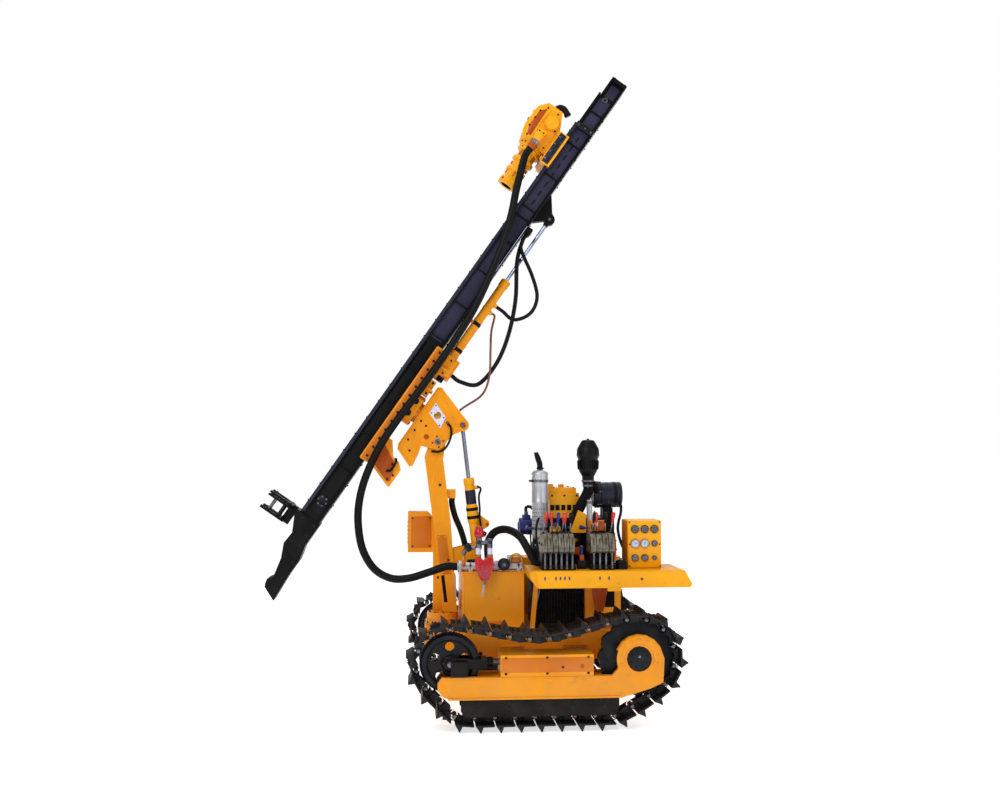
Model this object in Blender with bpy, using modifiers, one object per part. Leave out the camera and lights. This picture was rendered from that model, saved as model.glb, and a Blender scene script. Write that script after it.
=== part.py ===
"""Crawler drilling rig: two tracks, a swinging boom post and a leaning feed mast.

Metres, +Z up. +X is the front, where the foot of the mast is, and +Y is the rig's left.
The origin is on the ground, under the middle of the whole rig.
The mast is modelled upright in its own frame and leans back about the tilt pin:
there x is the height over the tilt pin towards the drill side, and z runs up the mast.
"""
import math

import bmesh
import bpy
from mathutils import Matrix, Vector

SEAT = 0.0003

# Tracks
TRACK_CENTRE = 0.85
SHOE_WIDTH = 0.30
PITCH = 0.145
PIN_TO_RAIL = 0.030
PIN_TO_SHOE = 0.030
SHOE_THICKNESS = 0.014
GROUSER_TIP = 0.085
RAIL_INSIDE = 0.028
RAIL_OUTSIDE = 0.052
BUSHING_RADIUS = 0.015
TEETH = 12
SPROCKET_X = -1.2165
SPROCKET_Z = 0.500
IDLER_X_NEAR = 0.17
IDLER_Z = 0.475
IDLER_PIN_RADIUS = 0.245
ROLLER_RADIUS = 0.055
TURN_RADIUS = 0.100
FRONT_TURN_X = 0.06
REAR_TURN_X = -1.05
TOP_SAG = 0.105

# Track frames, seen from the side
FRAME_BOTTOM = 0.227
FRAME_TOP = 0.388
FRAME_PLATE_INSIDE = 0.085
FRAME_PLATE_OUTSIDE = 0.120
UPPER_BEAM_TOP = 0.540
ROLLER_PLACES = (-0.96, -0.73, -0.50, -0.27, -0.04)

# Chassis
CHASSIS_TOP = 0.630
CHASSIS_BOTTOM = 0.420
CHASSIS_HALF_WIDTH = 0.50

# Swing post
SWING_X = 0.170
TURNTABLE_RADIUS = 0.125
TURNTABLE_BOTTOM = 0.665
TURNTABLE_TOP = 0.720
POST_HALF_WIDTH = 0.070
TILT_PIN = (0.215, 2.070)
BARREL_PIN = (-0.100, 1.228)

# Mast, in its own upright frame
MAST_LEAN = math.radians(34.8)
MAST_BACK = 0.393
MAST_FACE = 0.573
FACE_STEPS = ((2.76, 0.553), (3.08, 0.535))
CHAIN_X = 0.478
MAST_BOTTOM = -1.06
MAST_TOP = 3.24
MAST_HALF_WIDTH = 0.100
FLANGE_HALF_WIDTH = 0.135
FLANGE_THICKNESS = 0.015
WEB_THICKNESS = 0.012
EAR = (-0.087, 0.222)
CHEEK_INSIDE = 0.0755
CHEEK_OUTSIDE = 0.0955
HEAD_FACE = 0.250
SWING_CENTRE_Z = 0.100
COMP_HEIGHT = 0.290
COMP_BARREL_TOP = 1.380
COMP_EYE_Z = 1.985
CARRIAGE_FACE = MAST_FACE + 0.050
SPINDLE_REACH = 0.117
SPINDLE_HEIGHT = CARRIAGE_FACE + SPINDLE_REACH
FOOT_FRONT = 0.600
JAW_THROAT = 0.060
HOSE_TOP = 2.360
HOSE_HEIGHT = SPINDLE_HEIGHT + 0.005
HOSE_Y = 0.155
FITTING_Z = 1.780
PORT_Z = 1.100
PORT_BACK = 0.235
BLOCK_BACK = 0.215

# Deck
DECK_TOP = 1.111
DECK_BOTTOM = 0.991
DECK_INSIDE = 0.300
DECK_OUTSIDE = 0.800
DECK_SHEET = 0.010
TANK_FRONT = 0.028
TANK_BACK = -0.440
TANK_TOP = 1.070
TANK_HALF_WIDTH = 0.420
PIPE_Y = 0.360
PIPE_END = 0.071
PIPE_RADIUS = 0.031
PIPE_Z = TANK_TOP + 0.040

PAINT = (0.93, 0.50, 0.02, 1.0)
BRIGHT = (0.95, 0.62, 0.05, 1.0)
BLACK = (0.02, 0.02, 0.025, 1.0)
STEEL = (0.55, 0.55, 0.55, 1.0)
SILVER = (0.75, 0.76, 0.78, 1.0)
RED = (0.65, 0.01, 0.03, 1.0)
BLUE = (0.03, 0.04, 0.16, 1.0)
LOOKS = {
    "orange_paint": (PAINT, 0.4, 0.0),
    "yellow_paint": (BRIGHT, 0.4, 0.0),
    "black_paint": (BLACK, 0.5, 0.0),
    "track_steel": (BLACK, 0.7, 0.6),
    "bare_steel": (STEEL, 0.35, 1.0),
    "silver_paint": (SILVER, 0.35, 0.7),
    "red_paint": (RED, 0.4, 0.0),
    "blue_paint": (BLUE, 0.4, 0.0),
    "rubber": (BLACK, 0.8, 0.0),
}

for old in list(bpy.data.objects):
    bpy.data.objects.remove(old)
PARTS = bpy.data.collections.new("crawler_drill_rig")
bpy.context.scene.collection.children.link(PARTS)

WORLD = Matrix.Identity(4)
MAST = Matrix.Translation((TILT_PIN[0], 0.0, TILT_PIN[1])) @ Matrix.Rotation(-MAST_LEAN, 4, "Y")


def material(name):
    """The named finish, made once."""
    found = bpy.data.materials.get(name)
    if found:
        return found
    made = bpy.data.materials.new(name)
    made.use_nodes = True
    shader = made.node_tree.nodes["Principled BSDF"]
    colour, roughness, metallic = LOOKS[name]
    shader.inputs["Base Color"].default_value = colour
    shader.inputs["Roughness"].default_value = roughness
    shader.inputs["Metallic"].default_value = metallic
    return made


def from_bmesh(work):
    """A linked object that holds the edited mesh."""
    mesh = bpy.data.meshes.new("piece")
    work.to_mesh(mesh)
    work.free()
    piece = bpy.data.objects.new("piece", mesh)
    PARTS.objects.link(piece)
    return piece


def box(low, high):
    """A box between two corners."""
    low, high = Vector(low), Vector(high)
    size = high - low
    work = bmesh.new()
    place = Matrix.Translation((low + high) / 2) @ Matrix.Diagonal((*size, 1.0))
    bmesh.ops.create_cube(work, size=1.0, matrix=place)
    return from_bmesh(work)


def along(start, end):
    """The frame whose z axis runs from start to end, and the distance between them."""
    start, end = Vector(start), Vector(end)
    way = end - start
    turn = way.to_track_quat("Z", "Y").to_matrix().to_4x4()
    return Matrix.Translation(start) @ turn, way.length


def rod(start, end, radius, sides=16, end_radius=None):
    """A cylinder or cone between two points."""
    frame, length = along(start, end)
    work = bmesh.new()
    bmesh.ops.create_cone(
        work,
        cap_ends=True,
        segments=sides,
        radius1=radius,
        radius2=radius if end_radius is None else end_radius,
        depth=length,
        matrix=frame @ Matrix.Translation((0.0, 0.0, length / 2)),
    )
    return from_bmesh(work)


def evaluated(piece):
    """Replaces the piece's mesh by its evaluated one and drops its modifiers."""
    bpy.context.view_layer.update()
    graph = bpy.context.evaluated_depsgraph_get()
    mesh = bpy.data.meshes.new_from_object(piece.evaluated_get(graph))
    work = bmesh.new()
    work.from_mesh(mesh)
    bmesh.ops.remove_doubles(work, verts=work.verts, dist=0.00001)
    work.to_mesh(mesh)
    work.free()
    if piece.type == "MESH":
        piece.modifiers.clear()
        piece.data = mesh
        return piece
    made = bpy.data.objects.new(piece.name, mesh)
    PARTS.objects.link(made)
    made.matrix_world = piece.matrix_world
    bpy.data.objects.remove(piece)
    return made


def baked(piece, frame):
    """Moves the piece's mesh by the frame, so that its object stays at the origin."""
    piece.data.transform(frame @ piece.matrix_world)
    piece.matrix_world = WORLD
    return piece


def turned(profile, start, end, sides=24):
    """Turns (radius, height) points, listed from the top down the outer side."""
    frame, _ = along(start, end)
    work = bmesh.new()
    corners = [work.verts.new((radius, 0.0, height)) for radius, height in profile]
    for one, two in zip(corners, corners[1:]):
        work.edges.new((one, two))
    if profile[0][0] > 0.0 and profile[-1][0] > 0.0:
        work.edges.new((corners[-1], corners[0]))
    piece = from_bmesh(work)
    screw = piece.modifiers.new("turn", "SCREW")
    screw.axis = "Z"
    screw.steps = sides
    screw.render_steps = sides
    screw.use_merge_vertices = True
    screw.merge_threshold = 0.0001
    return baked(evaluated(piece), frame)


def flat(outline, middle, thickness, holes=()):
    """A plate cut to an x-z outline, with its middle plane at y = middle."""
    curve = bpy.data.curves.new("outline", "CURVE")
    curve.dimensions = "2D"
    curve.fill_mode = "BOTH"
    curve.extrude = thickness / 2
    for loop in (outline, *holes):
        spline = curve.splines.new("POLY")
        spline.points.add(len(loop) - 1)
        for point, (x, z) in zip(spline.points, loop):
            point.co = (x, z, 0.0, 1.0)
        spline.use_cyclic_u = True
    piece = bpy.data.objects.new("outline", curve)
    PARTS.objects.link(piece)
    piece.matrix_world = Matrix.Translation((0.0, middle, 0.0)) @ Matrix.Rotation(math.pi / 2, 4, "X")
    return baked(evaluated(piece), WORLD)


def section(outline, start, end):
    """An x-y outline drawn out along z from start to end."""
    piece = flat(outline, 0.0, end - start)
    turn = Matrix.Rotation(-math.pi / 2, 4, "X")
    return baked(piece, Matrix.Translation((0.0, 0.0, (start + end) / 2)) @ turn)


def circle(x, z, radius, sides=16, first=0.0):
    """The corners of a round hole or disc."""
    steps = [first + math.tau * step / sides for step in range(sides)]
    return [(x + radius * math.cos(turn), z + radius * math.sin(turn)) for turn in steps]


def arc(x, z, radius, first, last, steps):
    """Points on an arc, with its two angles in degrees."""
    turns = [math.radians(first + (last - first) * step / steps) for step in range(steps + 1)]
    return [(x + radius * math.cos(turn), z + radius * math.sin(turn)) for turn in turns]


def combined(pieces, operation, solver="EXACT"):
    """The first piece joined with the others, or cut by them."""
    base, others = pieces[0], pieces[1:]
    for other in others:
        change = base.modifiers.new("change", "BOOLEAN")
        change.operation = operation
        change.solver = solver
        change.object = other
    evaluated(base)
    for other in others:
        bpy.data.objects.remove(other)
    return base


def fused(*pieces):
    return combined(pieces, "UNION")


def cut(*pieces):
    return combined(pieces, "DIFFERENCE")


def tube(points, radius, sharpness=2, spacing=None):
    """A round tube on a smooth curve through the points."""
    places = [Vector(point) for point in points]
    ends = [places[0] * 2 - places[1]] + places + [places[-1] * 2 - places[-2]]
    smooth = []
    for before, here, there, after in zip(ends, ends[1:], ends[2:], ends[3:]):
        steps = max(1, round((there - here).length / (spacing or radius * 5)))
        for step in range(steps):
            t = step / steps
            smooth.append(
                0.5
                * (
                    2 * here
                    + (there - before) * t
                    + (2 * before - 5 * here + 4 * there - after) * t * t
                    + (3 * here - before - 3 * there + after) * t * t * t
                )
            )
    smooth.append(places[-1])
    lead = min(radius, 0.02)
    smooth.insert(1, smooth[0] + (places[1] - places[0]).normalized() * lead)
    smooth.insert(-1, smooth[-1] + (places[-2] - places[-1]).normalized() * lead)
    curve = bpy.data.curves.new("route", "CURVE")
    curve.dimensions = "3D"
    curve.bevel_depth = radius
    curve.bevel_resolution = sharpness
    curve.use_fill_caps = True
    spline = curve.splines.new("POLY")
    spline.points.add(len(smooth) - 1)
    for point, place in zip(spline.points, smooth):
        point.co = (*place, 1.0)
    piece = bpy.data.objects.new("route", curve)
    PARTS.objects.link(piece)
    return baked(evaluated(piece), WORLD)


def node(name, piece, axis, look, frame=WORLD):
    """Names a finished piece, gives it its finish and hangs it on its joint's axis."""
    place = axis.matrix_world.inverted() if axis else WORLD
    piece.data.transform(place @ frame)
    piece.name = name
    piece.data.name = name
    piece.parent = axis
    piece.data.materials.clear()
    piece.data.materials.append(material(look))
    piece.data.shade_smooth()
    piece.data.set_sharp_from_angle(angle=math.radians(35))
    return piece


def joint_axis(name, place, parent=None):
    """An empty at a joint, in world coordinates."""
    empty = bpy.data.objects.new(name, None)
    PARTS.objects.link(empty)
    empty.parent = parent
    bpy.context.view_layer.update()
    if parent:
        empty.matrix_parent_inverse = parent.matrix_world.inverted()
    empty.matrix_world = place
    bpy.context.view_layer.update()
    return empty


def mast_point(x, y, z):
    """A point of the mast's upright frame, in world coordinates."""
    return MAST @ Vector((x, y, z))


SWING_AXIS = joint_axis("swing_axis", Matrix.Translation((SWING_X, 0.0, TURNTABLE_TOP)))
TILT_AXIS = joint_axis("tilt_axis", MAST.copy(), SWING_AXIS)
BARREL_AXIS = joint_axis(
    "barrel_axis", Matrix.Translation((BARREL_PIN[0], 0.0, BARREL_PIN[1])), SWING_AXIS
)
CARRIER_AXIS = joint_axis(
    "carrier_axis", MAST @ Matrix.Translation((HEAD_FACE, 0.0, SWING_CENTRE_Z)), TILT_AXIS
)
SLIDE_AXIS = joint_axis("slide_axis", MAST @ Matrix.Translation((MAST_BACK, 0.0, 0.0)), CARRIER_AXIS)
FEED_AXIS = joint_axis("feed_axis", MAST @ Matrix.Translation((MAST_FACE, 0.0, 2.45)), SLIDE_AXIS)
SPINDLE_AXIS = joint_axis(
    "spindle_axis", MAST @ Matrix.Translation((SPINDLE_HEIGHT, 0.0, 2.40)), FEED_AXIS
)


# Track chain

SPROCKET_PIN_RADIUS = TEETH * PITCH / math.tau


def belt(idler_x):
    """Close points on the line of the track pins, from the top of the idler backwards."""
    ground = GROUSER_TIP + TURN_RADIUS
    wheels = [
        (idler_x, IDLER_Z, IDLER_PIN_RADIUS),
        (SPROCKET_X, SPROCKET_Z, SPROCKET_PIN_RADIUS),
        (REAR_TURN_X, ground, TURN_RADIUS),
        (FRONT_TURN_X, ground, TURN_RADIUS),
    ]
    facing = []
    for one, two in zip(wheels, wheels[1:] + wheels[:1]):
        run = (two[0] - one[0], two[1] - one[1])
        facing.append(math.atan2(run[1], run[0]) - math.acos((one[2] - two[2]) / math.hypot(*run)))
    points = []
    for index, wheel in enumerate(wheels):
        first, last = facing[index - 1], facing[index]
        while last < first:
            last += math.tau
        steps = max(2, math.ceil((last - first) * wheel[2] / 0.004))
        for step in range(steps + 1):
            turn = first + (last - first) * step / steps
            points.append((wheel[0] + wheel[2] * math.cos(turn), wheel[1] + wheel[2] * math.sin(turn)))
        if index == 0:
            after = wheels[1]
            end = (
                after[0] + after[2] * math.cos(facing[0]),
                after[1] + after[2] * math.sin(facing[0]),
            )
            start = points[-1]
            for step in range(1, 300):
                t = step / 300
                drop = TOP_SAG * math.sin(math.pi * t) ** 2
                points.append(
                    (start[0] + (end[0] - start[0]) * t, start[1] + (end[1] - start[1]) * t - drop)
                )
    return points


def belt_length(points):
    return sum(math.dist(one, two) for one, two in zip(points, points[1:] + points[:1]))


def tensioned():
    """The idler's place, moved forward until the chain holds whole links."""
    links = round(belt_length(belt(IDLER_X_NEAR)) / PITCH)
    low, high = IDLER_X_NEAR - PITCH, IDLER_X_NEAR + PITCH
    for _ in range(40):
        middle = (low + high) / 2
        if belt_length(belt(middle)) < links * PITCH:
            low = middle
        else:
            high = middle
    return (low + high) / 2, links


IDLER_X, LINKS = tensioned()
IDLER_RIM = math.sqrt(IDLER_PIN_RADIUS**2 - (PITCH / 2) ** 2) - PIN_TO_RAIL - SEAT


def pins():
    """Where the track's pins are, a link's length apart along the belt."""
    line = belt(IDLER_X)
    line.append(line[0])
    places, walked, wanted = [], 0.0, 0.0
    for one, two in zip(line, line[1:]):
        step = math.dist(one, two)
        while len(places) < LINKS and walked + step >= wanted:
            t = (wanted - walked) / step if step else 0.0
            places.append((one[0] + (two[0] - one[0]) * t, one[1] + (two[1] - one[1]) * t))
            wanted += PITCH
        walked += step
    return places


PINS = pins()


def beside(points, distance):
    """The same closed line moved outwards by a distance."""
    moved = []
    for index, here in enumerate(points):
        before, after = points[index - 1], points[(index + 1) % len(points)]
        run = (after[0] - before[0], after[1] - before[1])
        length = math.hypot(*run)
        moved.append((here[0] + run[1] / length * distance, here[1] - run[0] / length * distance))
    return moved


# A shoe's outline: place along the link as a share of the pitch, height over the pin line
SHOE = (
    (-0.47, PIN_TO_SHOE),
    (-0.47, PIN_TO_SHOE + SHOE_THICKNESS),
    (0.10, PIN_TO_SHOE + SHOE_THICKNESS),
    (0.19, GROUSER_TIP),
    (0.27, GROUSER_TIP),
    (0.47, PIN_TO_SHOE + SHOE_THICKNESS),
    (0.47, PIN_TO_SHOE),
)


def track(side):
    """One closed loop: shoes with grousers, two rails and the bushings between them."""
    shoes = []
    for index, here in enumerate(PINS):
        there = PINS[(index + 1) % LINKS]
        run = (there[0] - here[0], there[1] - here[1])
        length = math.hypot(*run)
        way = (run[0] / length, run[1] / length)
        middle = ((here[0] + there[0]) / 2, (here[1] + there[1]) / 2)
        for share, height in SHOE:
            across = share * PITCH
            shoes.append(
                (
                    middle[0] + way[0] * across + way[1] * height,
                    middle[1] + way[1] * across - way[0] * height,
                )
            )
    centre = side * TRACK_CENTRE
    inner = beside(PINS, PIN_TO_SHOE - 0.012)
    loop = flat(shoes, centre, SHOE_WIDTH, [inner])
    rail_outer = beside(PINS, PIN_TO_SHOE - 0.004)
    rail_inner = beside(PINS, -PIN_TO_RAIL)
    middle = (RAIL_INSIDE + RAIL_OUTSIDE) / 2
    pieces = [loop]
    for edge in (-middle, middle):
        pieces.append(flat(rail_outer, centre + edge, RAIL_OUTSIDE - RAIL_INSIDE, [rail_inner]))
    for x, z in PINS:
        reach = RAIL_INSIDE + 0.006
        pieces.append(rod((x, centre - reach, z), (x, centre + reach, z), BUSHING_RADIUS, 6))
    return combined(pieces, "UNION", "MANIFOLD")


def sprocket_outline():
    """Teeth whose round seats lie on the pins that the sprocket holds."""
    centre = (SPROCKET_X, SPROCKET_Z)
    held = [place for place in PINS if abs(math.dist(place, centre) - SPROCKET_PIN_RADIUS) < 0.0015]
    first = math.atan2(held[2][1] - centre[1], held[2][0] - centre[0])
    seat = (BUSHING_RADIUS + 0.001) / math.cos(math.radians(31))
    outline = []
    for tooth in range(TEETH):
        turn = first + math.tau * tooth / TEETH
        pin = (
            centre[0] + SPROCKET_PIN_RADIUS * math.cos(turn),
            centre[1] + SPROCKET_PIN_RADIUS * math.sin(turn),
        )
        for step in range(3):
            inward = turn + math.pi + math.radians(62 - 62 * step)
            outline.append((pin[0] + seat * math.cos(inward), pin[1] + seat * math.sin(inward)))
        for share in (0.40, 0.60):
            tip = turn + math.tau * share / TEETH
            radius = SPROCKET_PIN_RADIUS * math.cos(math.pi / TEETH) + PIN_TO_SHOE - 0.014
            outline.append((centre[0] + radius * math.cos(tip), centre[1] + radius * math.sin(tip)))
    return outline


def track_side(side, word):
    """The track, its frame with rollers, idler, tensioner and drive sprocket on one side."""
    centre = side * TRACK_CENTRE
    node("track_" + word, track(side), None, "track_steel")

    wheel = turned(
        [
            (0.0, 0.050),
            (0.055, 0.050),
            (0.055, 0.022),
            (IDLER_RIM - 0.042, 0.022),
            (IDLER_RIM - 0.042, 0.052),
            (IDLER_RIM, 0.052),
            (IDLER_RIM, 0.020),
            (IDLER_RIM + 0.014, 0.018),
            (IDLER_RIM + 0.014, -0.018),
            (IDLER_RIM, -0.020),
            (IDLER_RIM, -0.052),
            (IDLER_RIM - 0.042, -0.052),
            (IDLER_RIM - 0.042, -0.022),
            (0.055, -0.022),
            (0.055, -0.050),
            (0.0, -0.050),
        ],
        (IDLER_X, centre, IDLER_Z),
        (IDLER_X, centre + side, IDLER_Z),
        20,
    )
    holes = []
    for step in range(5):
        turn = math.tau * (step + 0.25) / 5
        x, z = IDLER_X + 0.115 * math.cos(turn), IDLER_Z + 0.115 * math.sin(turn)
        holes.append(rod((x, centre - 0.06, z), (x, centre + 0.06, z), 0.034, 8))
    node("idler_" + word, cut(wheel, *holes), None, "track_steel")

    teeth = flat(sprocket_outline(), centre, 2 * (RAIL_INSIDE - 0.005))
    out = centre + side * 0.125
    hub = rod((SPROCKET_X, centre - side * 0.07, SPROCKET_Z), (SPROCKET_X, out, SPROCKET_Z), 0.0899, 16)
    disc = rod((SPROCKET_X, centre - 0.035, SPROCKET_Z), (SPROCKET_X, centre + 0.035, SPROCKET_Z), 0.16, 12)
    node("sprocket_" + word, fused(teeth, disc, hub), None, "track_steel")

    pieces = []
    side_outline = [
        (-1.09, FRAME_BOTTOM),
        (0.14, FRAME_BOTTOM),
        (0.20, 0.255),
        (0.235, 0.300),
        (0.235, 0.350),
        (0.205, FRAME_TOP),
        (-1.02, FRAME_TOP),
        (-1.06, 0.430),
        (-1.075, 0.560),
        *arc(SPROCKET_X, SPROCKET_Z, 0.175, 22, 150, 6),
        (-1.400, 0.500),
        (-1.390, 0.330),
        (-1.30, 0.290),
    ]
    plate = FRAME_PLATE_OUTSIDE - FRAME_PLATE_INSIDE
    middle = (FRAME_PLATE_OUTSIDE + FRAME_PLATE_INSIDE) / 2
    hub_hole = circle(SPROCKET_X, SPROCKET_Z, 0.092, 16)
    for edge in (-middle, middle):
        pieces.append(flat(side_outline, centre + edge, plate, [hub_hole]))
    reach = FRAME_PLATE_OUTSIDE
    pieces.append(box((-0.96, centre - reach + 0.01, 0.240), (-0.06, centre + reach - 0.01, 0.375)))
    pieces.append(box((-0.883, centre - reach, 0.36), (-0.214, centre + reach, UPPER_BEAM_TOP)))
    for x in ROLLER_PLACES:
        low = PIN_TO_RAIL + GROUSER_TIP + ROLLER_RADIUS + SEAT
        pieces.append(rod((x, centre - 0.082, low), (x, centre + 0.082, low), ROLLER_RADIUS, 12))
        for edge in (-0.09, 0.09):
            pieces.append(
                box((x - 0.035, centre + edge - 0.010, low - 0.020), (x + 0.035, centre + edge + 0.010, 0.26))
            )
    node("track_frame_" + word, fused(*pieces), None, "orange_paint")

    yoke = []
    cross = IDLER_X - IDLER_RIM - 0.045
    for edge in (-0.070, 0.070):
        arm = [
            *arc(IDLER_X, IDLER_Z, 0.045, -90, 90, 4),
            (cross + 0.010, IDLER_Z + 0.030),
            (cross + 0.010, IDLER_Z - 0.030),
        ]
        yoke.append(flat(arm, centre + edge, 0.016))
    yoke.append(box((cross - 0.020, centre - 0.078, IDLER_Z - 0.03), (cross + 0.020, centre + 0.078, IDLER_Z + 0.03)))
    yoke.append(rod((cross, centre, IDLER_Z), (-0.2137, centre, IDLER_Z), 0.022, 8))
    for edge in (-1, 1):
        axle = centre + edge * 0.0503
        yoke.append(rod((IDLER_X, axle, IDLER_Z), (IDLER_X, centre + edge * 0.09, IDLER_Z), 0.028, 8))
        foot = centre + edge * 0.096
        yoke.append(box((0.02, foot - 0.027, FRAME_TOP + SEAT), (0.14, foot + 0.020, IDLER_Z + 0.02)))
    node("tensioner_" + word, fused(*yoke), None, "black_paint")


def chassis():
    """The box between the tracks with its cross beams and the ring under the post."""
    pieces = [
        box((-1.15, -CHASSIS_HALF_WIDTH, CHASSIS_BOTTOM), (0.02, CHASSIS_HALF_WIDTH, CHASSIS_TOP)),
        box((0.0, -0.20, CHASSIS_BOTTOM), (0.31, 0.20, CHASSIS_TOP)),
        rod((SWING_X, 0, 0.60), (SWING_X, 0, TURNTABLE_BOTTOM - SEAT), 0.135, 20),
        box((-1.22, -0.30, 0.40), (-1.10, 0.30, 0.60)),
    ]
    reach = TRACK_CENTRE - FRAME_PLATE_OUTSIDE - SEAT
    for x in (-0.80, -0.32):
        pieces.append(box((x - 0.075, -reach, 0.400), (x + 0.075, reach, 0.535)))
    under_deck = DECK_TOP - DECK_SHEET - SEAT
    pieces.append(box((-0.985, 0.400, 0.60), (-0.905, 0.460, under_deck)))
    brace = [(-0.475, 0.60), (-0.520, under_deck), (-0.555, under_deck), (-0.510, 0.60)]
    pieces.append(flat(brace, 0.455, 0.030))
    node("chassis_frame", fused(*pieces), None, "orange_paint")

    for word, edge in (("left", 1), ("right", -1)):
        inside = edge * (TRACK_CENTRE - 0.0703)
        motor = turned(
            [(0.0, 0.0), (0.0899, 0.0), (0.0899, -0.06), (0.070, -0.06), (0.070, -0.20), (0.0, -0.20)],
            (SPROCKET_X, inside, SPROCKET_Z),
            (SPROCKET_X, inside + edge, SPROCKET_Z),
            14,
        )
        node("track_motor_" + word, motor, None, "black_paint")


def deck():
    """Tank, cooler, console deck and what stands on them."""
    low = CHASSIS_TOP + SEAT
    tank = box((TANK_BACK, -TANK_HALF_WIDTH, low), (TANK_FRONT, TANK_HALF_WIDTH, TANK_TOP))
    node("tank_box", tank, None, "orange_paint")

    cooler = [box((-0.965, -0.10, low), (-0.525, 0.36, 0.985))]
    for step in range(11):
        x = -0.955 + step * 0.041
        cooler.append(box((x, 0.35, 0.66), (x + 0.012, 0.385, 0.97)))
    cooler.append(box((-0.965, 0.34, 0.64), (-0.525, 0.39, 0.675)))
    cooler.append(box((-0.965, 0.34, 0.95), (-0.525, 0.39, 0.985)))
    node("oil_cooler", fused(*cooler), None, "black_paint")

    deck_outline = [
        (-0.450, DECK_TOP),
        (-0.450, 1.060),
        (-0.500, DECK_BOTTOM),
        (-1.640, DECK_BOTTOM),
        (-1.655, 1.010),
        (-1.600, DECK_TOP),
    ]
    hollow = [
        (-0.460, DECK_TOP - DECK_SHEET),
        (-0.460, 1.062),
        (-0.520, DECK_BOTTOM - 0.05),
        (-1.630, DECK_BOTTOM - 0.05),
        (-1.640, 1.010),
        (-1.592, DECK_TOP - DECK_SHEET),
    ]
    width = DECK_OUTSIDE - DECK_INSIDE
    middle = (DECK_OUTSIDE + DECK_INSIDE) / 2
    tray = cut(flat(deck_outline, middle, width), flat(hollow, middle, width - 2 * DECK_SHEET))
    lug = box((-1.12, 0.76, 0.965), (-1.02, DECK_OUTSIDE - 0.001, 1.02))
    node("console_deck", fused(tray, lug), None, "yellow_paint")

    clear = TRACK_CENTRE - SHOE_WIDTH / 2 - 0.040
    side_tank = box((-1.35, -clear, low), (-0.46, -TANK_HALF_WIDTH - SEAT, 1.10))
    node("fuel_tank", side_tank, None, "orange_paint")

    panel = box((-1.467, 0.38, DECK_TOP + SEAT), (-1.207, 0.61, 1.471))
    dials = []
    for column in range(3):
        for row in range(3):
            x = -1.262 - 0.075 * column
            z = 1.190 + 0.108 * row
            dials.append(rod((x, 0.60, z), (x, 0.622, z), 0.031, 10))
    node("gauge_panel", fused(panel, *dials), None, "yellow_paint")

    for name, first, last, levers in (
        ("valve_bank_front", -0.541, -0.799, 6),
        ("valve_bank_rear", -0.905, -1.100, 4),
    ):
        pieces = [box((last, 0.47, DECK_TOP + SEAT), (first, 0.72, 1.210))]
        pieces.append(box((last + 0.02, 0.52, 1.19), (first - 0.02, 0.67, 1.340)))
        for lever in range(levers):
            x = first - 0.03 + (last - first + 0.06) * lever / (levers - 1)
            pieces.append(rod((x, 0.60, 1.32), (x, 0.64, 1.43), 0.007, 4))
            pieces.append(rod((x, 0.637, 1.42), (x, 0.655, 1.475), 0.014, 6))
        node(name, fused(*pieces), None, "black_paint")


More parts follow.
